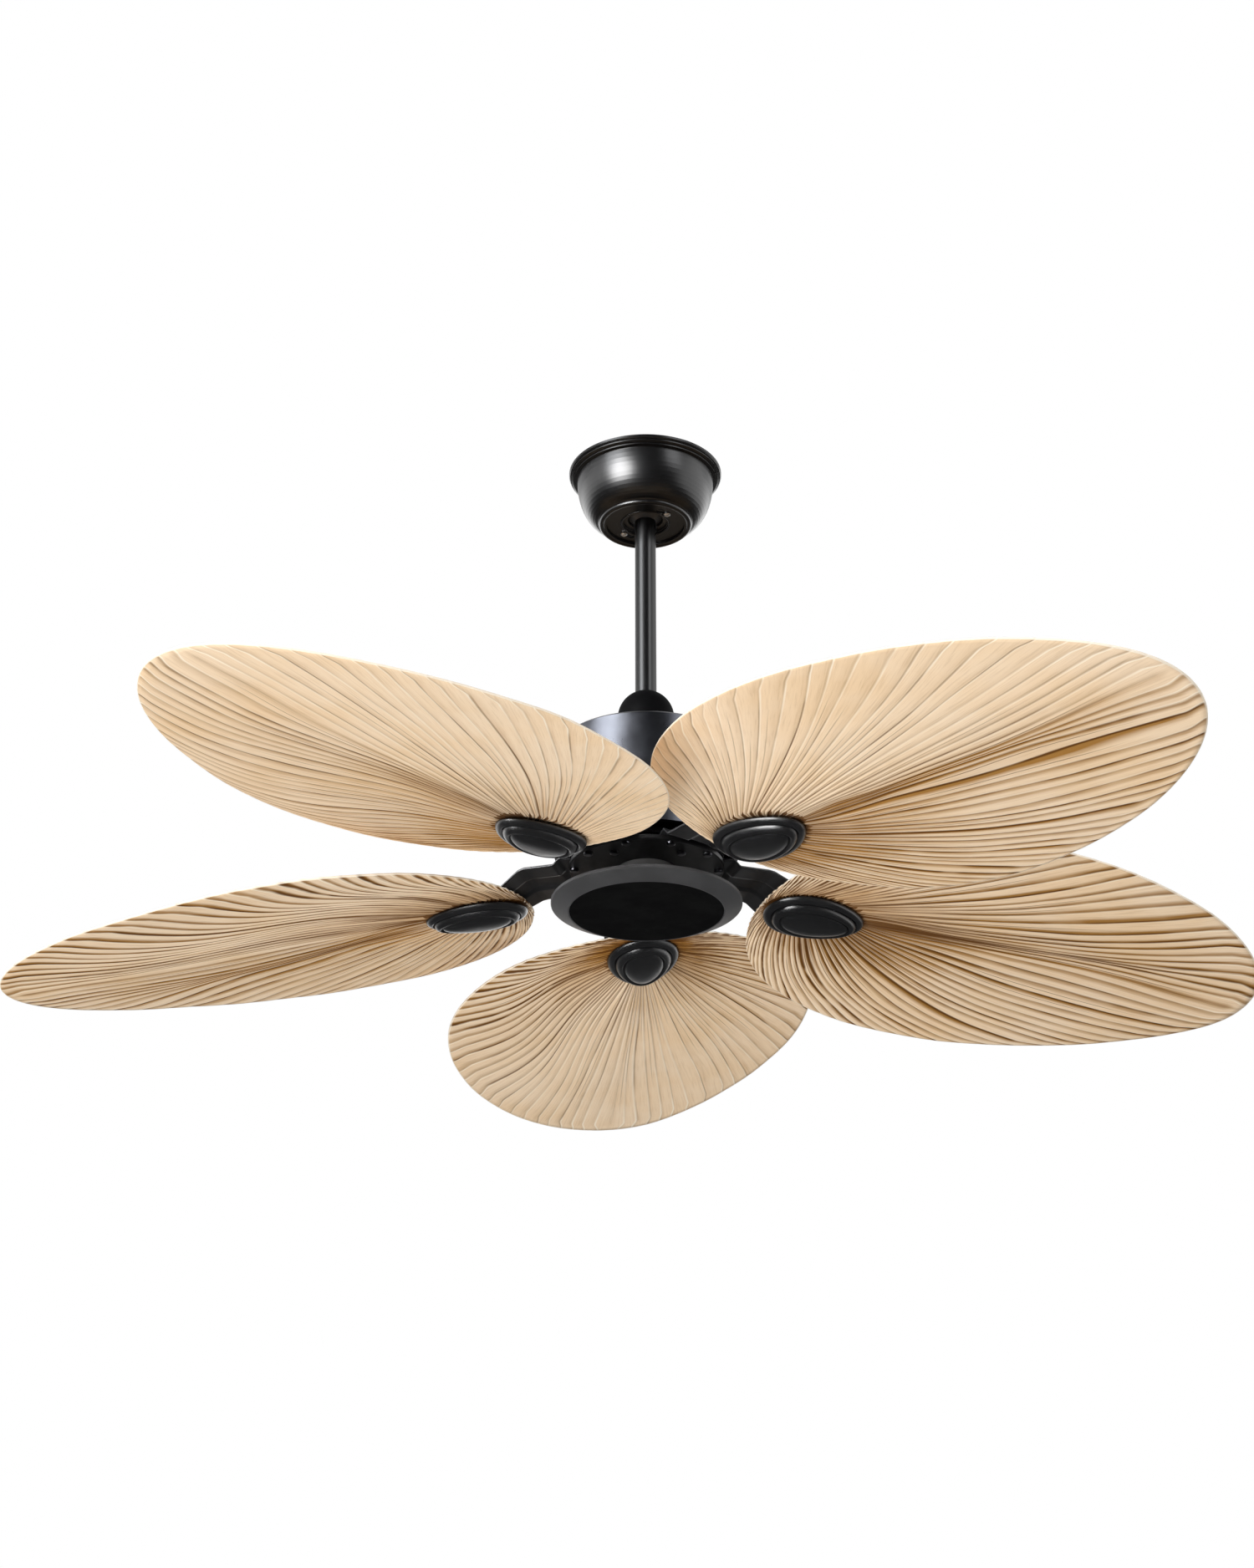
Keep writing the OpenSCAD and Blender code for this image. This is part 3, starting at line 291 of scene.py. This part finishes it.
def makeLeafMaterial():
    # leafUV runs round the leaf and out along a rib, leafLook holds pleat width, tone and ink,
    # and leafRim the distance to the margin, in millimetres
    material, graph, surface = newMaterial("palmLeaf", IOR=leafFinish["ior"],
                                           Specular_IOR_Level=leafFinish["level"])
    uv = graph.split(graph.add("ShaderNodeUVMap", {"uv_map": "leafUV"}))
    look = graph.split(graph.add("ShaderNodeAttribute", {"attribute_name": "leafLook"}, {}, "Vector"))
    rim = graph.add("ShaderNodeAttribute", {"attribute_name": "leafRim"}, {}, "Fac")
    around, reach = uv, uv.get("Y")
    width, tone, ink = look, look.get("Y"), look.get("Z")
    free = pastMedallion(reach)

    def ribNoise(scales, detail, rough=0.5):
        return graph.noise(graph.combine(around * scales[0], reach * scales[1]), 1.0, detail, rough)

    # the creases, hooked over a little at the margin
    halfSign = (around - 0.5).math("SIGN")
    patch = graph.noise(graph.combine(around * leafFinish["hookScale"], leafFinish["hookSeed"]), 1.0, 1.0)
    hook = rim.smooth(0.0, leafFinish["hookIn"], 1.0, 0.0) * patch.smooth(0.35, 0.65, 0.05, 0.4) * halfSign
    phase = around * float(leaf["pleats"]) + hook
    nearest = (phase + 0.5).math("FLOOR")
    ribStrength, ribThick = graph.chance(nearest), graph.chance(nearest + leafFinish["thickSeed"])
    signed = (phase - nearest) * width * halfSign       # millimetres from the crease, towards the root

    # a dark line of painted shadow along each crease, stronger on some and on some stretches
    along = ribNoise(leafFinish["strengthScale"], 2.0)
    strength = ribStrength.smooth(0.05, 0.85, 0.2, 1.0) * along.smooth(0.35, 0.62, 0.3, 1.0)
    thick = rim.smooth(0.0, leafFinish["thickIn"], 1.25, 0.9) * (ribThick * 0.6 + 0.7) * (ink * 0.6 + 0.45)
    thick = thick.lowest(width * (ink * 0.06 + 0.1))
    main = (signed.math("ABSOLUTE") / thick).smooth(*leafFinish["lineFade"], 1.0, 0.0)
    main = main * strength * rim.smooth(0.5, 3.0, 0.2, 1.0)

    # painted shade, in brown, on the side towards the root, and a painted highlight line on the other
    share = signed / width
    shade = share.smooth(0.1, 0.5, 1.0, 0.0) * share.smooth(-0.1, 0.02) * (strength * 0.5 + 0.5)
    aside = (signed + leafFinish["glintAside"] * thick).math("ABSOLUTE")
    glint = aside.smooth(*leafFinish["glintFade"], 1.0, 0.0) * (1.0 - along.smooth(0.4, 0.65) * 0.6)

    # finer folds between, each on its own stretch of the leaf, painted as thin lines of shade
    between = phase * 2.0 + 0.5
    cell = between.math("FLOOR")
    start = graph.chance(cell + leafFinish["fineSeed"]) * 0.75 - 0.1
    fine = (between - cell - 0.5).math("ABSOLUTE") * width * 0.5
    stretch = (reach - start).math("ABSOLUTE").smooth(0.12, 0.3, 1.0, 0.0)
    stretch = stretch.highest(reach.smooth(0.22, 0.4, 0.8, 0.0))
    second = fine.smooth(*leafFinish["fineFade"], 1.0, 0.0) * stretch

    # painted shadow where every other fold stands open beside the medallion
    past = rim * free / (1.02 - free)                   # millimetres past the medallion's edge
    half = phase * 0.5
    apart = (half - (half + 0.5).math("FLOOR")).math("ABSOLUTE") * width * 2.0
    openShadow = (apart + past * 0.4).smooth(*leafFinish["openFade"], 1.0, 0.0) * reach.smooth(0.4, 0.5, 1.0, 0.0)

    streak = ribNoise(leafFinish["streakScale"], 3.0, 0.6)
    cloud = graph.noise(objectCoords(graph), leafFinish["cloudScale"], 3.0, 0.55)
    color = graph.mix(cloud.smooth(0.3, 0.75, 0.2, 0.75), leafFinish["pale"], leafFinish["tan"])
    # painted shade beside each crease and the tone, partly painted shade, mixed towards warm with the fibres'
    # own brown streaks
    brownedAndShaded = tone * 0.6 + shade * (0.03 + 0.45 * ink * ink + tone)
    brownedAndShaded = brownedAndShaded + streak.smooth(0.45, 0.75, 0.0, 0.3) * (0.55 + tone)
    color = graph.mix(brownedAndShaded.lowest(leafFinish["brownMost"]), color, leafFinish["warm"])
    # painted highlight beside each crease, in pale parts and most near the margin
    lit = glint * (0.45 - tone).highest(0.0) * rim.smooth(0.0, leafFinish["glintIn"], 2.0, 1.0)
    color = graph.mix(lit, color, leafFinish["glint"])
    # painted rim light: a pale band along the margin
    rimLit = (rim + cloud * 3.0 - 1.0).smooth(*leafFinish["rimFade"], leafFinish["rimMost"], 0.0)
    color = graph.mix(rimLit, color, leafFinish["rim"])
    # painted shadow in the creases, the finer folds and the open folds
    dark = main * (ink * 0.95 + 0.05) + second * (0.14 + 0.34 * ink + 0.4 * tone)
    color = graph.mix(dark.highest(openShadow).lowest(leafFinish["darkMost"]), color, leafFinish["line"])
    height = streak * 0.4 - main - second * 0.4
    bump = graph.add("ShaderNodeBump", {}, {"Strength": leafFinish["bump"], "Height": height,
                                            "Distance": leafFinish["bumpDepth"]})
    plug(graph, surface, Base_Color=color, Normal=bump,
         Roughness=streak.smooth(0.3, 0.7, leafFinish["rough"] - 0.08, leafFinish["rough"] + 0.1))
    return material


def addInputs(tree):
    sizes = ["Length", "Width", "Egg", "Root", "Pleats", "Pleat Depth", "Thickness", "Wave", "Uneven",
             "Jitter", "Wobble", "Seed", "Bunch At", "Bunch Width", "Bunch Strength"]
    sizes += [f"{half} {trait}" for half in ("Left", "Right") for trait in leafTraits]
    kinds = {"NodeSocketFloat": sizes, "NodeSocketInt": ["Points Around", "Rows"],
             "NodeSocketMaterial": ["Material"]}
    for kind, names in kinds.items():
        for name in names:
            tree.interface.new_socket(name, in_out="INPUT", socket_type=kind)


def makeLeafTree():
    tree = bpy.data.node_groups.new("pleatedLeaf", "GeometryNodeTree")
    tree.interface.new_socket("Leaf", in_out="OUTPUT", socket_type="NodeSocketGeometry")
    addInputs(tree)
    graph = Graph(tree)
    want = graph.add("NodeGroupInput").get
    grid = graph.add("GeometryNodeMeshGrid", {}, {0: 1.0, 1: 1.0, 2: want("Points Around"), 3: want("Rows")})
    at = graph.split(graph.add("GeometryNodeInputPosition"))
    around, reach = at + 0.5, at.get("Y") + 0.5
    under = (reach / leaf["covered"]).lowest(1.0)       # 0 at the inner end, and 1 at the medallion's edge
    free = pastMedallion(reach)

    def ellipse(angle, halfAxes):
        return angle.math("COSINE") * halfAxes[0], angle.math("SINE") * halfAxes[1]

    def egg(angle, longHalf, wideHalf, shape, middle):
        cosine = angle.math("COSINE")
        return longHalf * cosine + middle, wideHalf * angle.math("SINE") * (1.0 - shape * cosine)

    def blend(first, second, share):
        return first + (second - first) * share

    def distance(x, y):
        return (x * x + y * y).math("SQRT")

    def waver(x, y, z=0.0, scale=1.0, rough=0.5):
        # noise about zero
        return graph.noise(graph.combine(x, y, z), scale, 1.0, rough) - 0.5

    def trait(name, onLeft, rootward):
        # this half's value, between the one for the tip and the one for the root
        tip, root = (blend(want(f"Right {name} {end}"), want(f"Left {name} {end}"), onLeft)
                     for end in ("Tip", "Root"))
        return blend(tip, root, rootward)

    def place(around):
        # folds crowd together round the root and in the bunch, and leave the medallion square to its edge
        off = (around - want("Bunch At")) / want("Bunch Width")
        crowd = off * (off * off * -1.0).math("EXPONENT") * want("Bunch Width") * want("Bunch Strength")
        crowd = crowd * free.smooth(0.02, 0.25) * free.smooth(0.5, 1.0, 1.0, 0.0)
        side = (around - crowd) * 2.0 - 1.0
        onLeft = side.smooth(-0.02, 0.02)
        rootward = side.math("ABSOLUTE")                # 0 at the tip, 1 at the root
        sign = side.math("SIGN")
        rounded = (rootward * (pi / 2)).math("SINE")
        endAngle = (rootward * leaf["ribEven"] + rounded * (1 - leaf["ribEven"])) * pi
        startAngle = (endAngle / pi) ** leaf["ribCrowd"] * pi
        wobble = 1.0 + waver(side * leaf["wobbleScale"], want("Seed")) * want("Wobble")
        longHalf, wideHalf = want("Length") * 0.5, want("Width") * 0.5 * wobble
        endX, endY = egg(endAngle, longHalf, wideHalf, want("Egg"), want("Root") + longHalf)
        startX, startY = ellipse(startAngle, leaf["ribStart"])
        innerX, innerY = ellipse(startAngle, leaf["ribInner"])
        runX, runY = endX - startX, endY - startY
        run = distance(runX, runY)
        # each rib bows and swings sideways on its way out, most in the middle of its half
        bow, swing = trait("Bow", onLeft, rootward), trait("Swing", onLeft, rootward)
        window = endAngle.math("SINE")
        drift = waver(endX, endY * sign, want("Seed"), leaf["waveScale"], 0.4)
        shift = ((free * pi).math("SINE") * bow + (free * (2 * pi)).math("SINE") * swing) * window * run
        shift = shift + drift * want("Wave") * (free * pi).math("SINE") * window
        x = blend(innerX, startX, under) + runX * free - shift * runY / run
        y = blend(innerY, startY, under) + runY * free + shift * runX / run
        # uneven folds, in wide stretches and from rib to rib
        wide, narrow = leaf["unevenScale"], leaf["jitterScale"]
        stray = waver(around * wide[0], reach * wide[1], want("Seed"))
        shaken = waver(around * narrow[0], reach * narrow[1], want("Seed") + leaf["jitterSeed"])
        pattern = around + (stray * want("Uneven") + shaken * want("Jitter")) * (around * pi).math("SINE")
        return x, y * sign, pattern, run, onLeft, rootward

    x, y, pattern, run, onLeft, rootward = place(around)
    nextX, nextY, nextPattern = place(around + leaf["probe"])[:3]
    pleats = (nextPattern - pattern) * want("Pleats")
    pleatWide = distance(nextX - x, nextY - y) / pleats * inMillimetres
    # rounded folds with a sharp crease between, shallow at the margin and where pleats are narrow
    fold = (pattern * want("Pleats") * pi).math("SINE").math("ABSOLUTE") ** leaf["foldRound"]
    depth = want("Pleat Depth") * under.smooth(0.3, 1.0) * free.smooth(0.0, 0.4, 0.8, 0.2)
    depth = depth * free.smooth(0.93, 1.0, 1.0, 0.25)
    ink = trait("Ink", onLeft, rootward.smooth(0.1, 0.8))
    deepest = pleatWide / inMillimetres * (ink * 0.2 + 0.3)
    depth = (depth * (ink * 0.5 + 0.4)).lowest(deepest)
    sag = waver(x, y, want("Seed") + leaf["sagSeed"], leaf["sagScale"], 0.4)
    fromBunch = (around - want("Bunch At")) / want("Bunch Width")
    bunched = (fromBunch ** 2.0 * -1.0).math("EXPONENT") * want("Bunch Strength")
    bunched = bunched * free.smooth(0.0, 0.12) * free.smooth(0.45, 1.0, 1.0, 0.15)
    z = -want("Thickness") - depth * fold + sag * leaf["sag"] * free + bunched * leaf["bunchDrop"]
    # brown by the medallion and in the bunch, partly the leaf's own warmer colour and partly painted shade
    tone = trait("Tone", onLeft, rootward.smooth(0.1, 0.8))
    tone = tone * (free.smooth(0.0, 0.45, 0.7, 0.0) + free.smooth(0.2, 1.0, 0.3, 0.12))
    tone = tone + bunched * leaf["bunchTone"]
    marks = [("leafUV", "FLOAT2", "CORNER", graph.combine(pattern, reach)),
             ("leafLook", "FLOAT_VECTOR", "POINT", graph.combine(pleatWide, tone, ink)),
             ("leafRim", "FLOAT", "POINT", (1.0 - free) * run * inMillimetres)]
    shape = grid
    for name, kind, domain, value in marks:
        shape = graph.add("GeometryNodeStoreNamedAttribute", {"data_type": kind, "domain": domain},
                          {"Geometry": shape, "Name": name, "Value": value})
    placed = graph.add("GeometryNodeSetPosition", {}, {"Geometry": shape, "Position": graph.combine(x, y, z)})
    joined = graph.add("GeometryNodeMergeByDistance", {}, {"Geometry": placed, "Distance": leaf["weld"]})
    smooth = graph.add("GeometryNodeSetShadeSmooth", {}, {"Geometry": joined, "Shade Smooth": True})
    real = graph.add("GeometryNodeRealizeInstances", {}, {0: smooth})
    painted = graph.add("GeometryNodeSetMaterial", {}, {"Geometry": real, "Material": want("Material")})
    graph.add("NodeGroupOutput", {}, {0: painted})
    return tree


def setInputs(modifier, values):
    for item in modifier.node_group.interface.items_tree:
        if item.in_out == "INPUT" and item.name in values:
            modifier[item.identifier] = values[item.name]


def bake(name, source):
    # plain mesh of an object with its modifiers, as a new object at the origin
    graph = bpy.context.evaluated_depsgraph_get()
    mesh = bpy.data.meshes.new_from_object(source.evaluated_get(graph), depsgraph=graph)
    mesh.name = name
    bpy.data.objects.remove(source)
    return linkNew(name, mesh)


leafMaterial = makeLeafMaterial()
leafTree = makeLeafTree()
leafSizes = {"Width": leaf["width"], "Egg": leaf["egg"], "Pleats": float(leaf["pleats"]),
             "Pleat Depth": fan["pleatDepth"], "Thickness": fan["leafThick"], "Wave": leaf["wave"],
             "Uneven": leaf["uneven"], "Jitter": leaf["jitter"], "Wobble": leaf["wobble"],
             "Points Around": leaf["pleats"] * leaf["perPleat"] + 1, "Rows": leaf["rows"],
             "Material": leafMaterial}
for number, run in enumerate(leafRuns, 1):
    turn, droop, longer, out = run["moved"]
    values = {"Length": leaf["length"] + longer, "Root": leaf["root"] - fan["medallionOut"] + out,
              "Seed": float(number)}
    values.update(leafSizes)
    values.update(zip(("Bunch At", "Bunch Width", "Bunch Strength"), run["bunch"]))
    for half in ("Left", "Right"):
        values.update({f"{half} {name}": value for name, value in zip(leafTraits, run[half.lower()])})
    carrier = linkNew("leafCarrier", bpy.data.meshes.new("leafCarrier"))
    grown = carrier.modifiers.new("grown", "NODES")
    grown.node_group = leafTree
    setInputs(grown, values)
    sheet = carrier.modifiers.new("sheet", "SOLIDIFY")
    sheet.thickness, sheet.offset = fan["leafThick"], -1.0
    piece = bake(f"palmLeaf{number}", carrier)
    piece.data.transform(leafPlane(number) @ turned(fan["leafTurn"] + turn, "Z") @ turned(droop, "Y"))
    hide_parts(f"leaf_blade_{number}")
    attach(piece, "rotor_unit")
print("leaves grown")


def skin(name, sections):
    # closed surface through rings of points, from one end to the other
    shell = bmesh.new()
    rings = [[shell.verts.new(point) for point in section] for section in sections]
    count = len(rings[0])
    for before, after in zip(rings, rings[1:]):
        for k in range(count):
            side = shell.faces.new((before[k], before[(k + 1) % count], after[(k + 1) % count], after[k]))
            side.smooth = True
    shell.faces.new(rings[0])
    shell.faces.new(list(reversed(rings[-1])))
    bmesh.ops.recalc_face_normals(shell, faces=shell.faces)
    mesh = bpy.data.meshes.new(name)
    shell.to_mesh(mesh)
    shell.free()
    return linkNew(name, mesh)


# three nested domes: each one's inset in metres, and the shares of the whole depth where its wall
# starts and ends. The first two lean in by spread, the last closes to a crown, and the face against
# the leaf is set in and raised a little
medallion = {"length": 0.1025, "width": 0.072, "egg": 0.19, "depth": 0.015, "gap": 0.0004, "spread": 0.0062,
             "tiers": [(0.0, 0.0, 0.38), (0.0076, 0.2, 0.72), (0.0158, 0.54, 1.0)],
             "backInset": 0.0012, "backRise": 0.03, "crownCurve": 0.8, "crownTip": 0.004,
             "around": 144, "arc": 9, "crownArc": 27}


def makeMedallion(name):
    sections = []

    def addRing(inset, drop, share=1.0):
        ring = []
        for k in range(medallion["around"]):
            angle = 2 * pi * k / medallion["around"]
            x = (medallion["length"] / 2 - inset) * cos(angle) * share
            y = (medallion["width"] / 2 - inset) * sin(angle) * (1 - medallion["egg"] * cos(angle)) * share
            ring.append((x, y, -drop * medallion["depth"]))
        sections.append(ring)

    addRing(medallion["backInset"], -medallion["backRise"])
    crown = medallion["tiers"][-1]
    for tier in medallion["tiers"]:
        inset, top, low = tier
        steps = medallion["crownArc"] if tier is crown else medallion["arc"]
        for j in range(steps + 1):
            bend = pi / 2 * j / steps
            drop = top + (low - top) * sin(bend)
            if tier is crown:
                addRing(inset, drop, max(medallion["crownTip"], cos(bend) ** medallion["crownCurve"]))
            else:
                addRing(inset + medallion["spread"] * (1 - cos(bend)), drop)
    return skin(name, sections)


for number in range(1, fan["blades"] + 1):
    piece = makeMedallion(f"medallion{number}")
    rise = -fan["leafThick"] - fan["pleatDepth"] - medallion["gap"]
    piece.data.transform(leafPlane(number) @ Matrix.Translation((0, 0, rise)))
    piece.data.materials.append(finishes["medallion_plastic"])
    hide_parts(f"medallion_{number}")
    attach(piece, "rotor_unit")
print("medallions made")

# pressed blade arms: a flat strip with a raised channel, bent down to a pad that lies on the leaf.
# slope is the width of the channel's side, bend half the length of a pressed bend
arm = {"width": 0.078, "thick": 0.0025, "topZ": -0.4395, "drop": 0.0065, "dip": 0.0015, "padGap": 0.0001,
       "channel": 0.0022, "channelHalf": 0.0125, "slope": 0.003, "bend": 0.0008, "bendSteps": 3,
       "corner": 0.0006, "step": 0.0012, "across": 44}


def padHeight(out):
    lift = arm["padGap"] / cos(radians(fan["pitch"]))
    return fan["crestZ"] + lift - (out - fan["medallionOut"]) * tan(radians(fan["droop"]))


lowZ = arm["topZ"] - arm["drop"]
# distance out, height of the underside, and shares of the width, the pitch and the channel's height
armStations = [(0.048, arm["topZ"], 0.66, 0, 0), (0.071, arm["topZ"], 0.94, 0, 0),
               (0.0765, arm["topZ"], 1, 0, 0), (0.0825, lowZ, 1, 0, 1), (0.112, lowZ, 1, 0, 1),
               (0.118, lowZ - arm["dip"], 1, 0.1, 1)]
padStations = [(0.141, 1, 1), (0.15, 1, 0.05), (0.186, 0.7, 0.05), (0.203, 0.58, 0.05), (0.213, 0.3, 0.05)]
armStations += [(out, padHeight(out), wide, 1, raised) for out, wide, raised in padStations]


def armAt(out):
    out = min(max(out, armStations[0][0]), armStations[-1][0])
    for low, high in zip(armStations, armStations[1:]):
        if out <= high[0]:
            share = (out - low[0]) / (high[0] - low[0])
            return [first + (second - first) * share for first, second in zip(low[1:], high[1:])]


def armRounded(out):
    # the pressed bends are small curves, not corners
    steps = arm["bendSteps"]
    near = [armAt(out + arm["bend"] * k / steps) for k in range(-steps, steps + 1)]
    return [sum(values) / len(near) for values in zip(*near)]


def channelAt(side):
    share = (arm["channelHalf"] + arm["slope"] / 2 - abs(side)) / arm["slope"]
    share = min(1.0, max(0.0, share))
    return share * share * (3 - 2 * share)


def makeArm(name):
    inner, outer = armStations[0][0], armStations[-1][0]
    steps = int((outer - inner) / arm["step"])
    corner, thick = arm["corner"], arm["thick"]
    sections = []
    for j in range(steps + 1):
        out = inner + (outer - inner) * j / steps
        height, wide, pitched, raised = armRounded(out)
        half = wide * arm["width"] / 2
        tilt = radians(fan["pitch"]) * pitched
        sides = [-half + 2 * half * k / arm["across"] for k in range(arm["across"] + 1)]
        line = [(side, raised * arm["channel"] * channelAt(side)) for side in sides]
        (left, leftRise), (right, rightRise) = line[0], line[-1]
        under = [(left + corner, leftRise)] + line[1:-1] + [(right - corner, rightRise)]
        outline = under + [(right, rightRise + corner), (right, rightRise + thick - corner)]
        outline += [(side, rise + thick) for side, rise in reversed(under)]
        outline += [(left, leftRise + thick - corner), (left, leftRise + corner)]
        across, down = cos(tilt), sin(tilt)
        sections.append([(out, side * across + rise * down, height - side * down + rise * across)
                         for side, rise in outline])
    return skin(name, sections)


for number in range(1, fan["blades"] + 1):
    piece = makeArm(f"bladeArm{number}")
    piece.data.transform(atBlade(number))
    piece.data.materials.append(finishes["black_satin"])
    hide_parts(f"blade_arm_{number}")
    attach(piece, "rotor_unit")
print("arms pressed")

# finishes of the frame's own pieces: the clamping ring is deeper black than the arms, its screws
# brighter. The leaves' nodes are replaced, but have a slot too
finishes["palm_leaf"] = leafMaterial
slotOf = {part["node"]: part["material_slot"] for part in frame["record"]["subparts"]}
slotOf.update(blade_ring="ring_black", arm_screws="screw_black")
for node, shown in frame["nodes"].items():
    finish = finishes[slotOf[node]]
    if shown.data.materials:
        for k in range(len(shown.data.materials)):
            shown.data.materials[k] = finish
    else:
        shown.data.materials.append(finish)
print("finishes set")

# soft boxes to either side of the camera, and one low in front for the leaves' undersides. Polished
# pieces don't mirror the low one
lamps = [dict(name="leftBox", place=(-1.9, -1.55, 0.9), aim=(0, 0, -0.3), size=(1.3, 1.5), power=60,
              color=(0.94, 0.97, 1.0), mirrored=True),
         dict(name="rightBox", place=(1.75, -1.7, 1.0), aim=(0, 0, -0.3), size=(1.0, 1.3), power=22,
              color=(0.97, 0.98, 1.0), mirrored=True),
         dict(name="lowBox", place=(-1.3, -2.2, -2.1), aim=(0, 0, -0.45), size=(1.8, 1.4), power=58,
              color=(1.0, 0.985, 0.96), mirrored=False)]
for lamp in lamps:
    data = bpy.data.lights.new(lamp["name"], "AREA")
    data.shape, data.size, data.size_y = "RECTANGLE", lamp["size"][0], lamp["size"][1]
    data.energy, data.color = lamp["power"], lamp["color"]
    box = linkNew(lamp["name"], data)
    box.location = lamp["place"]
    box.rotation_euler = (Vector(lamp["aim"]) - Vector(lamp["place"])).to_track_quat("-Z", "Y").to_euler()
    box.visible_camera = False
    box.visible_glossy = lamp["mirrored"]

# white to the camera, ambient to matt surfaces, and to a mirroring surface a studio of its own: dim
# on the camera's side, bright behind and to the left and right, dark below, with one strong lamp
# towards key. Each edge is the stretch of direction over which one gives way to the next
studio = {"ambient": 0.45, "front": 0.04, "back": 3.0, "backHigh": 0.9, "left": 2.6, "right": 2.6,
          "below": 0.03, "keyLight": 44.0, "key": (-0.65, -0.76, 0.0), "backEdge": (-0.3, 0.6),
          "highEdge": (0.28, 0.42), "leftEdge": (-0.98, -0.8), "rightEdge": (0.7, 0.95),
          "belowEdge": (-0.22, 0.05), "keyEdge": (0.92, 0.99)}
world = bpy.data.worlds.new("studio")
world.use_nodes = True
bpy.context.scene.world = world
room = Graph(world.node_tree)
rays = room.add("ShaderNodeLightPath")
seen = rays.get("Is Camera Ray").highest(rays.get("Is Transmission Ray"))
glossy = rays.get("Is Glossy Ray")
toward = room.split(room.add("ShaderNodeTexCoord", {}, {}, "Generated"))
high = toward.get("Z")
back = high.smooth(*studio["highEdge"], studio["back"], studio["backHigh"])
mirrored = toward.get("Y").smooth(*studio["backEdge"], studio["front"], back)
mirrored = mirrored.highest(toward.smooth(*studio["leftEdge"], studio["left"], 0.0))
mirrored = mirrored * high.smooth(*studio["belowEdge"], studio["below"], 1.0)
mirrored = mirrored.highest(toward.smooth(*studio["rightEdge"], 0.0, studio["right"]))
keyward = sum((toward.get(axis) * value for axis, value in zip("XYZ", studio["key"])), 0.0)
mirrored = mirrored.highest(keyward.smooth(*studio["keyEdge"], 0.0, studio["keyLight"]))
inGloss = (mirrored - studio["ambient"]) * glossy * (1.0 - seen)
level = studio["ambient"] + (1.0 - studio["ambient"]) * seen + inGloss
backdrop = world.node_tree.nodes["Background"]
backdrop.inputs["Color"].default_value = (1, 1, 1, 1)
world.node_tree.links.new(level.out, backdrop.inputs["Strength"])

# a pale floor below that sends light up: white is the share of pure white that the camera sees on
# it, mirrored its light in polished pieces
ground = {"height": -2.6, "half": 7.0, "color": (0.82, 0.82, 0.82, 1), "rough": 0.8, "white": 0.85,
          "mirrored": 0.1}
half, low = ground["half"], ground["height"]
corners = [(-half, -half, low), (half, -half, low), (half, half, low), (-half, half, low)]
floorMesh = bpy.data.meshes.new("floor")
floorMesh.from_pydata(corners, [], [(0, 1, 2, 3)])
floor = linkNew("floor", floorMesh)
floorMaterial, graph, surface = newMaterial("paleFloor", Roughness=ground["rough"],
                                            Base_Color=ground["color"])
paths = graph.add("ShaderNodeLightPath")
bright = graph.add("ShaderNodeEmission", {}, {"Color": (1, 1, 1, 1), "Strength": 1.0})
dim = graph.add("ShaderNodeEmission", {}, {"Color": (1, 1, 1, 1), "Strength": ground["mirrored"]})
mirror = graph.add("ShaderNodeMixShader", {}, {0: paths.get("Is Glossy Ray"), 2: dim})
whitened = paths.get("Is Camera Ray") * ground["white"]
both = graph.add("ShaderNodeMixShader", {}, {0: whitened, 1: mirror, 2: bright})
graph.tree.links.new(surface.outputs[0], mirror.out.node.inputs[1])
graph.tree.links.new(both.out, graph.tree.nodes["Material Output"].inputs["Surface"])
floorMesh.materials.append(floorMaterial)

bpy.context.scene.view_settings.view_transform = "Standard"
print("studio set")
